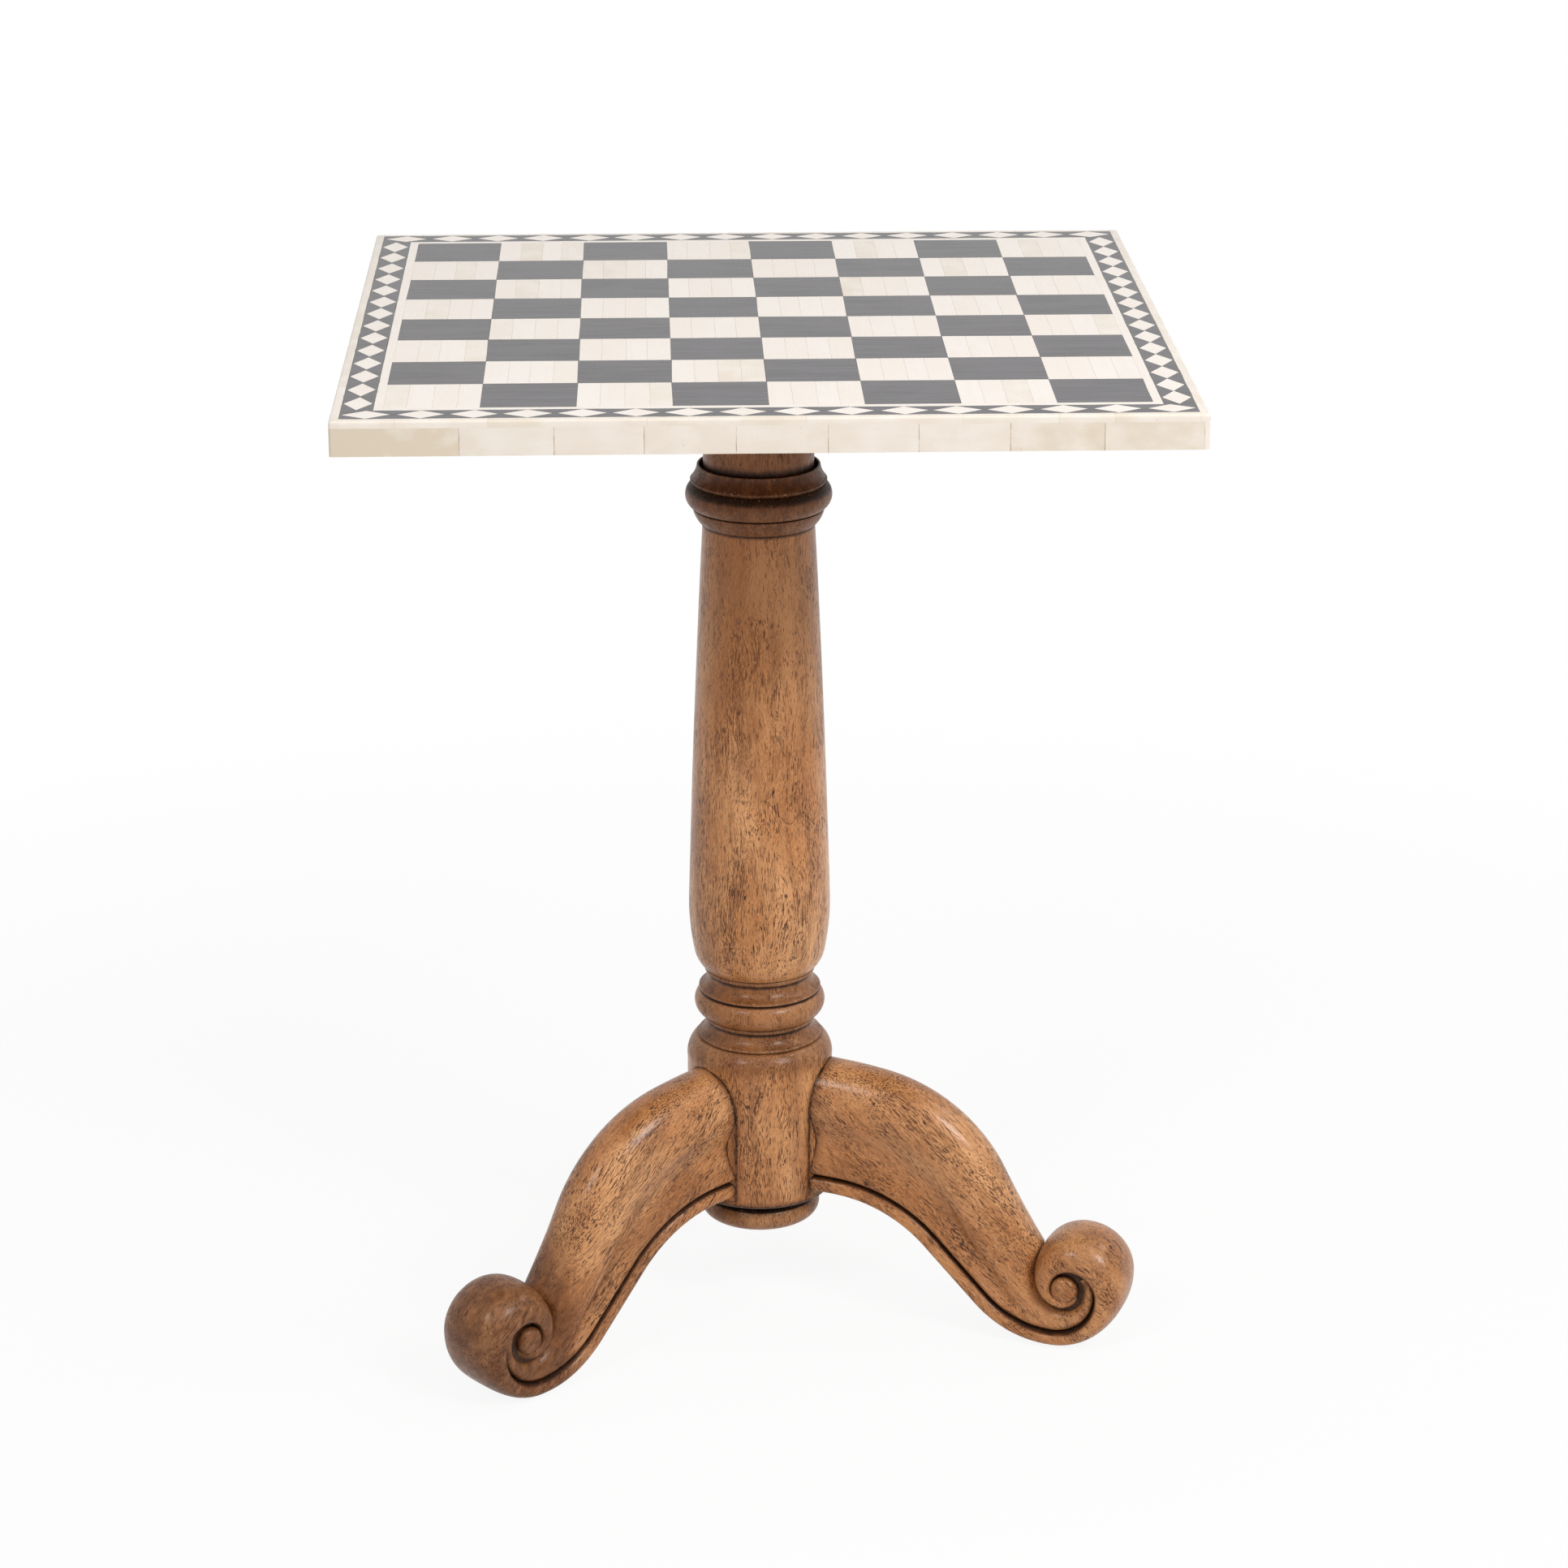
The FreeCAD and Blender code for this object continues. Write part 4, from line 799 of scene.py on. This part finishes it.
def wood_mesh():
    """An empty mesh and the layers that the wood's finish reads: grain, wax with painted shade, wear and
    seam.
    """
    bm = bmesh.new()
    layers = bm.verts.layers
    grain = layers.float_vector.new("grain")
    return bm, grain, *[layers.float.new(name) for name in ("wax_and_shade", "wear", "seam")]


def turned(name, steps, node, wax_and_shade_level, fine=0.7, crack=None):
    """Spin an outline of radii and heights about the column's axis."""
    points = profile_points(steps, fine)
    bends = hollows(points)
    bm, grain, wax_and_shade, wear, seam = wood_mesh()
    verts, edges = closed_outline(bm, [(point.x, 0, point.y) for point in points])
    bmesh.ops.spin(bm, geom=verts + edges, cent=(0, 0, 0), axis=(0, 0, 1), angle=math.tau, steps=SPIN_STEPS,
                   use_merge=True, use_duplicate=False)
    tones = {(round(point.x, 2), round(point.y, 2)): bend for point, bend in zip(points, bends)}
    shift = grain_shift()
    for vert in bm.verts:
        radius = math.hypot(vert.co.x, vert.co.y)
        bend = tones.get((round(radius, 2), round(vert.co.z, 2)), 0)
        vert[grain] = Vector((vert.co.z, vert.co.x, vert.co.y)) + shift
        # Hollows get dark wax and painted shade, proud edges get wear.
        vert[wax_and_shade] = max(held(bend * 1.1 - 0.12), wax_and_shade_level(vert.co))
        vert[wear] = held(-bend * 0.9 - 0.15)
        vert[seam] = crack(vert.co) if crack else CLEAR
    finished(name, bm, WOOD, [node], merge=0.002, sharp=60)


# Outlines as radius and height, or as the end and a point on the way of an arc.
HUB_FOOT = 73.4
SHAFT_FOOT = 171.4
NECK_FOOT = 513.6
SHAFT_STEPS = [
    (5, 141.4), (20, 141.4), (20, SHAFT_FOOT), (35, SHAFT_FOOT),
    (36.9, 172.1), (36.9, 173.2), (36.3, 173.6),
    (31.4, 182.2, 33, 176.4), (31.2, 185.2, 33.3, 183.7), (34, 185.5), (34.8, 201.2, 38.9, 193.5),
    (34.6, 201.4), (36.3, 201.9), (36.3, 203), (35.7, 203.4), (31, 212.6, 32.1, 206.4),
    (30.8, 215.8, 32.9, 214.2), (33.4, 216), (39, 226.5, 36.9, 220.6), (41.9, 258, 41.1, 240.5),
    (32.5, 489.6, 37.9, 375), (33.4, 489.6), (38.2, 498.6, 37, 494.8), (37.4, 498.7), (37.4, 499.4),
    (38.9, 499.6), (38.6, NECK_FOOT, 42.4, 506.6), (20.15, NECK_FOOT), (20.15, 488.6), (5, 488.6),
]
COLLAR_STEPS = [
    (34.4, NECK_FOOT), (38.6, NECK_FOOT), (39.6, 515.6), (35.5, 524.4, 37, 519.3), (34.4, 524.4),
]
NECK_STEPS = [
    (5, 489.6), (20, 489.6), (20, NECK_FOOT), (32, NECK_FOOT), (32, 567), (20, 567),
    (20, 578), (5, 578),
]
HUB_RADIUS = 43.4
HUB_STEPS = [
    (16, HUB_FOOT), (41.9, HUB_FOOT), (HUB_RADIUS, 74.9), (HUB_RADIUS, 157),
    (38, SHAFT_FOOT, 42.3, 165.4), (20.15, SHAFT_FOOT), (20.15, 140.4), (5, 140.4),
    (5, 89.4), (16, 89.4),
]
CAP_STEPS = [
    (0, 54.6), (30.5, 54.6), (33.2, 68.4, 36, 61.5), (29, 68.4), (29, HUB_FOOT), (15.85, HUB_FOOT),
    (15.85, 78.4), (0, 78.4),
]

LEG_AZIMUTHS = {"leg_back": 93, "leg_front_left": 220, "leg_front_right": 340}
LEG_TOP = 163
# The crest is carved a little below the leg's blank, most of all beside the hub.
CREST_DROP = 3.8
LEG_CREST = LEG_TOP - CREST_DROP
LEG_FOOT = 80
ARM_HALF_WIDTH = 21
CREST_ROUNDING = 30
# Power of the crest's curve: 2 is an ellipse, and more is squarer.
CREST_POWER = 2.2


def leg_half_width(height):
    """Half the width of a leg where it meets the hub."""
    if height <= LEG_CREST - CREST_ROUNDING:
        return ARM_HALF_WIDTH
    share = min(1, (height - LEG_CREST + CREST_ROUNDING) / CREST_ROUNDING)
    return ARM_HALF_WIDTH * (1 - share ** CREST_POWER) ** (1 / CREST_POWER)


def beside_legs(point):
    """Distance on the hub from the outline of the nearest leg, negative behind the leg."""
    inside = math.hypot(point.x, point.y) < HUB_RADIUS - 4
    if inside or not LEG_FOOT - 2 < point.z < LEG_CREST + CLEAR:
        return CLEAR
    nearest = CLEAR
    for azimuth in LEG_AZIMUTHS.values():
        angle = math.radians(azimuth)
        if point.x * math.cos(angle) + point.y * math.sin(angle) > 0:
            aside = abs(point.y * math.cos(angle) - point.x * math.sin(angle))
            over = max(0, point.z - LEG_CREST)
            nearest = min(nearest, math.hypot(aside, over) if over else aside - leg_half_width(point.z))
    return max(-CLEAR, nearest)


# Heights between which old wax and painted shade lie on the column.
HUB_SHOULDER = 156
RINGS_HEAD = 216
MIDDLE_RING = (186, 201)
CAPITAL_FOOT = 488
NECK_WAX_AND_SHADE_HEAD = 532
CAP_NECK = 67


def hub_wax_and_shade(point):
    """Old wax gathered on the hub's shoulder, and wax with painted shade beside the legs and round its
    lower edge.
    """
    under = 1 - (point.z - HUB_FOOT) / 5
    shoulder = 0.38 * smooth(held((point.z - HUB_SHOULDER) / 8))
    return max(0, 0.55 * (1 - abs(beside_legs(point)) / 4), under, shoulder)


def neck_wax_and_shade(point):
    """Old wax and painted shade round the neck under the table top, thick inside its collar."""
    return max(0.42, min(1, (NECK_WAX_AND_SHADE_HEAD - point.z) / 8)) if point.z > NECK_FOOT else 0


def shaft_wax_and_shade(point):
    """Old wax on the turnings at both ends of the shaft; on the capital it is painted shade as well, thick
    under the collar.
    """
    if point.z > CAPITAL_FOOT:
        return max(0.5, min(1, 1 - (NECK_FOOT - point.z - 2.5) / 5))
    if point.z < RINGS_HEAD:
        return 0.3 if MIDDLE_RING[0] < point.z < MIDDLE_RING[1] else 0.46
    return 0


def make_column():
    turned("turned_neck", NECK_STEPS, "column_neck", neck_wax_and_shade)
    # The collar is darkened evenly with wax and painted shade from the table top.
    turned("turned_collar", COLLAR_STEPS, "capital_collar", lambda point: 0.62, fine=0.5)
    turned("turned_shaft", SHAFT_STEPS, "column_shaft", shaft_wax_and_shade)
    turned("turned_hub", HUB_STEPS, "leg_hub", hub_wax_and_shade, crack=beside_legs)
    # The base cap's neck, in the gap under the hub, is painted dark as shade; its body gets lighter wax.
    turned("turned_base_cap", CAP_STEPS, "base_cap", lambda point: 1 if point.z > CAP_NECK else 0.34)


# Legs.

class Trail:
    """Tangent lines and arcs in a leg's upright plane, as functions from a share of each run to a point."""

    def __init__(self, point, heading):
        self.point = Vector(point)
        self.heading = math.radians(heading)
        self.runs = []

    def line(self, length):
        start = self.point.copy()
        way = Vector((math.cos(self.heading), math.sin(self.heading))) * length
        self.runs.append(lambda share: start + way * share)
        self.point = start + way
        return self

    def arc(self, radius, turn):
        left = Vector((-math.sin(self.heading), math.cos(self.heading)))
        centre = self.point + left * math.copysign(radius, turn)
        spoke = self.point - centre
        angle = math.radians(turn)
        self.runs.append(lambda share: centre + Matrix.Rotation(angle * share, 2) @ spoke)
        self.point = self.runs[-1](1)
        self.heading += angle
        return self

    def sweep(self, centre, start_radius, end_radius, start_angle, end_angle):
        """A turn about a centre whose radius may change on the way."""
        middle = Vector(centre)

        def spot(share):
            angle = math.radians(start_angle + (end_angle - start_angle) * share)
            radius = start_radius + (end_radius - start_radius) * share
            return middle + Vector((math.cos(angle), math.sin(angle))) * radius

        self.runs.append(spot)
        self.point = spot(1)
        return self


WALK_STEPS = 40


def walk(runs, count):
    """Points evenly spaced along a chain of runs, ends included."""
    fine = [stretch(index / WALK_STEPS) for stretch in runs for index in range(WALK_STEPS + 1)]
    travelled = [0]
    for before, after in zip(fine, fine[1:]):
        travelled.append(travelled[-1] + (after - before).length)
    found = []
    place = 0
    for index in range(count + 1):
        wanted = travelled[-1] * index / count
        while place < len(fine) - 2 and travelled[place + 1] < wanted:
            place += 1
        span = travelled[place + 1] - travelled[place]
        found.append(fine[place].lerp(fine[place + 1], (wanted - travelled[place]) / span if span else 0))
    return found


# Each leg starts inside the hub and dips by a few degrees.
ROOT_RUN = 9.4
DIP = 3
BAND_THICKNESS = 10
STRAIGHT = 45.776
EYE = (197.3, 40)


def root(height, lift=0):
    """A point where a leg starts inside the hub."""
    slope = math.radians(DIP)
    return (HUB_RADIUS - ROOT_RUN * math.cos(slope) + lift * math.sin(slope),
            height + ROOT_RUN * math.sin(slope) + lift * math.cos(slope))


underside = Trail(root(LEG_FOOT), -DIP).line(ROOT_RUN + 9).arc(85, -43).line(STRAIGHT).arc(68, 46)
underside.arc(43, 90).arc(29.5, 90).arc(27.5, 90).arc(20, 90).arc(12, 80)
groove = Trail(root(LEG_FOOT, BAND_THICKNESS), -DIP).line(ROOT_RUN + 9).arc(95, -43)
groove.line(STRAIGHT).arc(58, 46).arc(25.5, 90).arc(15, 90).arc(10.5, 90).arc(7.5, 60)
hook_end = groove.point.copy()
groove.runs.append(lambda share: hook_end.lerp(Vector(EYE), min(1, share * 2.5)))
backside = Trail(root(LEG_TOP), -DIP).line(ROOT_RUN).arc(300, -7).arc(106, -54).line(48.9)
backside.sweep((203.3, 45), 27.5, 25.5, 154.4, 180).sweep((195.8, 45), 18, 18, 180, 253)
backside.sweep((195.8, 45), 18, 18, 253, 270).sweep((195.8, 37), 10, 10, 270, 350)
backside.sweep((195.8, 37), 10, 10.5, 350, 400)
tongue_tip = Trail((215.3, 35.5), 90).arc(15, 54)

# Each stretch of the scrolled band: stations, half width and squareness at its two ends.
BAND_SETTINGS = [
    (8, 21, 21, 7, 7), (18, 21, 21, 7, 7), (12, 21, 21.2, 7, 6),
    (14, 21.2, 23.6, 6, 3.6), (22, 23.6, 25, 3.6, 2.3), (20, 25, 25, 2.3, 2.2),
    (20, 25, 24.6, 2.2, 2.5), (16, 24.6, 23.4, 2.5, 3.2), (12, 23.4, 18.5, 3.2, 4),
]
BAND_STRETCHES = [([inner], [outer], *setting) for inner, outer, setting in zip(
    groove.runs, underside.runs, BAND_SETTINGS)]
# Each stretch of the arm: the runs of the groove and of the back that bound it, stations and half widths.
ARM_STRETCHES = [
    (groove.runs[0:2], backside.runs[0:3], 34, 21, 21),
    (groove.runs[2:3], backside.runs[3:4], 16, 21, 21),
    (groove.runs[3:4], backside.runs[4:6], 18, 21, 21.6),
    (groove.runs[4:5], backside.runs[6:8], 16, 21.6, 21),
    (tongue_tip.runs, backside.runs[8:9], 8, 21, 19.6),
]

# Steps round a quarter of a section, and up the arm's hollow side.
ROUND_STEPS = 14
SIDE_STEPS = 8
ARM_HOLLOW = 4.8


def rounded(base, rise, half_width, power, first=0, tuck=0):
    """Points, and wax with painted shade, round a quarter of a squared ellipse."""
    points = []
    for index in range(first, ROUND_STEPS + 1):
        angle = math.pi / 2 * index / ROUND_STEPS
        along = math.sin(angle) ** (2 / power)
        aside = max(0, math.cos(angle)) ** (2 / power)
        points.append((base + rise * along, half_width * aside, tuck * index / ROUND_STEPS))
    return points


def band_section(_, share, thickness, start_width, end_width, start_square, end_square):
    """Half outline of the band from the groove's floor round its face to its outer edge: points, and wax
    with painted shade.
    """
    half_width = start_width + (end_width - start_width) * smooth(share)
    square = start_square + (end_square - start_square) * smooth(share)
    inner = min(3.2, thickness * 0.3)
    # The groove's floor gets dark wax and painted shade.
    points = [(-3, half_width - 9, 1), (-0.4, half_width - 6.5, 1), (0.2, half_width - 3.8, 1),
              (inner * 0.36, half_width - 1.7, 0.7), (inner * 0.66, half_width - 0.6, 0.2),
              (inner, half_width - 0.1, 0)]
    return points + rounded(inner, thickness - inner, half_width, square, first=1)


def arm_section(part, share, reach, start_width, end_width):
    """Half outline of the arm from the groove's floor up its hollow side and over its rounded back."""
    height = reach - CREST_DROP * (1 - min(1, (part + share) / 2) ** 3)
    half_width = start_width + (end_width - start_width) * smooth(share)
    # Where the arm tucks in under the scroll, its back gets painted shade.
    tuck = (0, 0, smooth(share), 1, 1)[part]
    rounding = min(CREST_ROUNDING, height * 0.6)
    edge = min(3.7, height * 0.25)
    hollow = ARM_HOLLOW * smooth(held((height - 18) / 30))
    # The groove's floor gets dark wax and painted shade, fading up the side.
    points = [(-3, half_width - 10, 1), (-0.5, half_width - 7, 1), (0.3, half_width - 4.2, 1),
              (edge * 0.32, half_width - 1.9, 0.65), (edge * 0.62, half_width - 0.7, 0.2),
              (edge, half_width - 0.1, 0.16)]
    flat = height - rounding
    for index in range(1, SIDE_STEPS):
        rise = index / SIDE_STEPS
        dip = hollow * math.sin(math.pi * rise) ** 1.3
        points.append((edge + (flat - edge) * rise, half_width - 0.1 - dip, max(0, 0.3 - 0.09 * index)))
    return points + rounded(flat, rounding, half_width - 0.1, CREST_POWER, tuck=tuck)


def loft(bm, outlines, wax_and_shade):
    """Skin a run of half outlines and their mirror images, closed at both ends."""
    ring = []
    for outline in outlines:
        spots = [(Vector((r, y, z)), wax_and_shade_level) for r, y, z, wax_and_shade_level in outline]
        spots += [(Vector((p.x, -p.y, p.z)), wax_and_shade_level) for p, wax_and_shade_level in reversed(spots[:-1])]
        if not ring:
            ring, edges = closed_outline(bm, [spot for spot, _ in spots])
            bmesh.ops.holes_fill(bm, edges=edges)
        else:
            made = bmesh.ops.extrude_edge_only(bm, edges=edges)["geom"]
            fresh = {item for item in made if isinstance(item, bmesh.types.BMVert)}
            ring = [next(edge.other_vert(vert) for edge in vert.link_edges
                         if edge.other_vert(vert) in fresh) for vert in ring]
            edges = [item for item in made if isinstance(item, bmesh.types.BMEdge)
                     and all(vert in fresh for vert in item.verts)]
        # Each point keeps its share of wax and painted shade.
        for vert, (spot, wax_and_shade_level) in zip(ring, spots):
            vert.co = spot
            vert[wax_and_shade] = wax_and_shade_level
    bmesh.ops.holes_fill(bm, edges=edges)


def sections(stretches, outline):
    """Stand half outlines between the two lines of each stretch, in the leg's upright plane."""
    found = []
    for part, (low_runs, high_runs, count, *widths) in enumerate(stretches):
        lower = walk(low_runs, count)
        upper = walk(high_runs, count)
        for step in range(1 if found else 0, count + 1):
            way = upper[step] - lower[step]
            height = way.length
            way.normalize()
            spots = [(lower[step] + way * out, aside, wax_and_shade_level)
                     for out, aside, wax_and_shade_level in outline(part, step / count, height, *widths)]
            found.append([(spot.x, aside, spot.y, wax_and_shade_level) for spot, aside, wax_and_shade_level in spots])
    return found


# The scroll's eye and the floor behind it: radius, half width and ease.
EYE_BOSS = (8.5, 23.6, 4.2)
EYE_FLOOR = (15, 18, 0.5)
EYE_MIDDLE = (EYE[0] - 0.6, 0, EYE[1] - 1.2)
# Dark wax and painted shade on the eye's side below this half width, and on the floor behind it.
EYE_WAX_AND_SHADE_FROM = 21.6
EYE_FLOOR_WAX_AND_SHADE = 0.85


def drum(bm, size, wax_and_shade, wax_and_shade_level):
    """A short round bar across the leg at the middle of its scroll."""
    radius, half_width, ease = size
    made = bar(bm, 48, radius, 2 * half_width)
    rim = {edge for vert in made for edge in vert.link_edges
           if abs(edge.verts[0].co.z - edge.verts[1].co.z) < 0.1}
    verts = list(eased(bm, made, rim, ease))
    place = Matrix.Translation(EYE_MIDDLE) @ Matrix.Rotation(math.pi / 2, 4, "X")
    bmesh.ops.transform(bm, matrix=place, verts=verts)
    for vert in verts:
        vert[wax_and_shade] = wax_and_shade_level(vert.co)


GRAIN_SLOPE = math.radians(42)
# How dark the wax and painted shade lie where a leg meets the hub, and the stain on each scroll, heaviest
# on the front left scroll, where it is painted shade as well.
SEAM_WAX_AND_SHADE = 0.62
SCROLL_STAIN_AND_SHADE = {"leg_back": 0.2, "leg_front_left": 0.52, "leg_front_right": 0.05}
# The stain and painted shade come in at this reach from the axis.
SCROLL_FROM = 150
SCROLL_BLEND = 22


def make_legs():
    """Each leg is an arm with a hollow side, a band that rolls up into the scroll, and the scroll's eye."""
    for node, azimuth in LEG_AZIMUTHS.items():
        bm, grain, wax_and_shade, _, seam = wood_mesh()
        loft(bm, sections(ARM_STRETCHES, arm_section), wax_and_shade)
        loft(bm, sections(BAND_STRETCHES, band_section), wax_and_shade)
        # The eye's side and the floor behind it get dark wax and painted shade.
        drum(bm, EYE_BOSS, wax_and_shade, lambda spot: held((EYE_WAX_AND_SHADE_FROM - abs(spot.y)) / 3))
        drum(bm, EYE_FLOOR, wax_and_shade, lambda spot: EYE_FLOOR_WAX_AND_SHADE)
        shift = grain_shift()
        for vert in bm.verts:
            r, y, z = vert.co
            vert[grain] = Vector((r * math.cos(GRAIN_SLOPE) - z * math.sin(GRAIN_SLOPE),
                                  r * math.sin(GRAIN_SLOPE) + z * math.cos(GRAIN_SLOPE), y)) + shift
            vert[seam] = max(-CLEAR, min(CLEAR, math.hypot(r, y) - HUB_RADIUS))
            # Stain with painted shade on the scroll, wax and painted shade beside the hub.
            scroll = SCROLL_STAIN_AND_SHADE[node] * smooth(held((r - SCROLL_FROM) / SCROLL_BLEND))
            vert[wax_and_shade] = max(vert[wax_and_shade], scroll, SEAM_WAX_AND_SHADE * (1 - abs(vert[seam]) / 5))
        turn = Matrix.Rotation(math.radians(azimuth), 3, "Z")
        bmesh.ops.rotate(bm, cent=(0, 0, 0), matrix=turn, verts=bm.verts)
        finished("carved_" + node, bm, WOOD, [node], sharp=50)


make_board()
make_borders()
make_bands()
make_column()
make_legs()

# Nodes that keep their own mesh and only get a finish.
CARRIED = {
    CORE: ("top_core", "mounting_block"),
    STEEL: ("block_screws", "tie_rod", "rod_nut", "rod_washer", "tee_nut"),
    DOWEL: ("dowels_back", "dowels_front_left", "dowels_front_right"),
}
for material, nodes in CARRIED.items():
    for node in nodes:
        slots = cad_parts[node].data.materials
        slots.clear()
        slots.append(material)


# Floor, light and camera.

def studio_share(f):
    """1 where the studio is seen straight on, in gloss or through glass."""
    path = f.node("LightPath").socket.node
    straight, gloss, through = [Value(f, path.outputs[name]) for name in (
        "Is Camera Ray", "Is Glossy Ray", "Is Transmission Ray")]
    return f.most(f.most(straight, gloss), through)


# Share of the painted floor that shows, and the distances in metres over which it fades out.
FLOOR_SHOW = 0.09
FLOOR_NEAR = 0.45
FLOOR_FAR = 1.3
FLOOR_REACH = 12


def make_floor():
    """White floor that shows a faint shadow near the table and plain white further out."""
    f = Finish.called("pale_floor")
    place = f.node("TexCoord", output="Object")
    reach = f.node("VectorMath", {"operation": "LENGTH"}, {0: place}, output="Value")
    plain = 1 - FLOOR_SHOW * (1 - f.ramp(reach, FLOOR_NEAR, FLOOR_FAR))
    paint = f.node("BsdfDiffuse", sockets={"Color": srgb(240, 240, 240)})
    glow = f.node("Emission", sockets={"Color": (1, 1, 1, 1), "Strength": 1})
    mixed = f.node("MixShader", sockets={0: studio_share(f) * plain, 1: paint, 2: glow})
    f.node("OutputMaterial", sockets={"Surface": mixed})
    bm = bmesh.new()
    bmesh.ops.create_grid(bm, x_segments=1, y_segments=1, size=FLOOR_REACH)
    mesh_object("studio_floor", bm, f.owner)


WORLD_FILL = 0.35


def make_world():
    scene.world = bpy.data.worlds.new("white_studio")
    f = Finish(scene.world)
    level = WORLD_FILL + (1 - WORLD_FILL) * studio_share(f)
    sky = f.node("Background", sockets={"Color": (1, 1, 1, 1), "Strength": level})
    f.node("OutputWorld", sockets={"Surface": sky})


LAMP_AIM = Vector((0, 0, 0.33))
# Azimuth from the camera's side and elevation in degrees, distance and width in metres, and power in watts.
SOFT_BOXES = {
    "right_soft_box": (42, 38, 2.6, 0.72, 33),
    "left_soft_box": (-35, 38, 2.6, 0.55, 15),
    "overhead_soft_box": (20, 82, 2.2, 0.85, 8),
    "side_soft_box": (100, 45, 2.6, 0.45, 6),
}


def soft_box(name, azimuth, elevation, distance, width, power):
    """A square area lamp aimed at the middle of the table."""
    turn = math.radians(azimuth - 90)
    rise = math.radians(elevation)
    way = Vector((math.cos(turn) * math.cos(rise), math.sin(turn) * math.cos(rise), math.sin(rise)))
    lamp = bpy.data.lights.new(name, "AREA")
    lamp.shape = "SQUARE"
    lamp.size = width
    lamp.energy = power
    holder = in_scene(name, lamp)
    holder.location = LAMP_AIM + way * distance
    holder.rotation_euler = (-way).to_track_quat("-Z", "Y").to_euler()


# Measured in the photograph: metres and degrees, lens in millimetres.
CAMERA_PLACE = (-0.0664, -2.3907, 1.1690)
CAMERA_TILT = 70.647
CAMERA_TURN = -1.94
CAMERA_LENS = 98.8


def make_camera():
    lens = bpy.data.cameras.new("product_camera")
    lens.lens = CAMERA_LENS
    lens.sensor_width = 36
    lens.clip_end = 60
    camera = in_scene("product_camera", lens)
    camera.location = CAMERA_PLACE
    camera.rotation_euler = (math.radians(CAMERA_TILT), 0, math.radians(CAMERA_TURN))
    scene.camera = camera


make_floor()
make_world()
for name, setting in SOFT_BOXES.items():
    soft_box(name, *setting)
make_camera()
scene.view_settings.view_transform = "Standard"
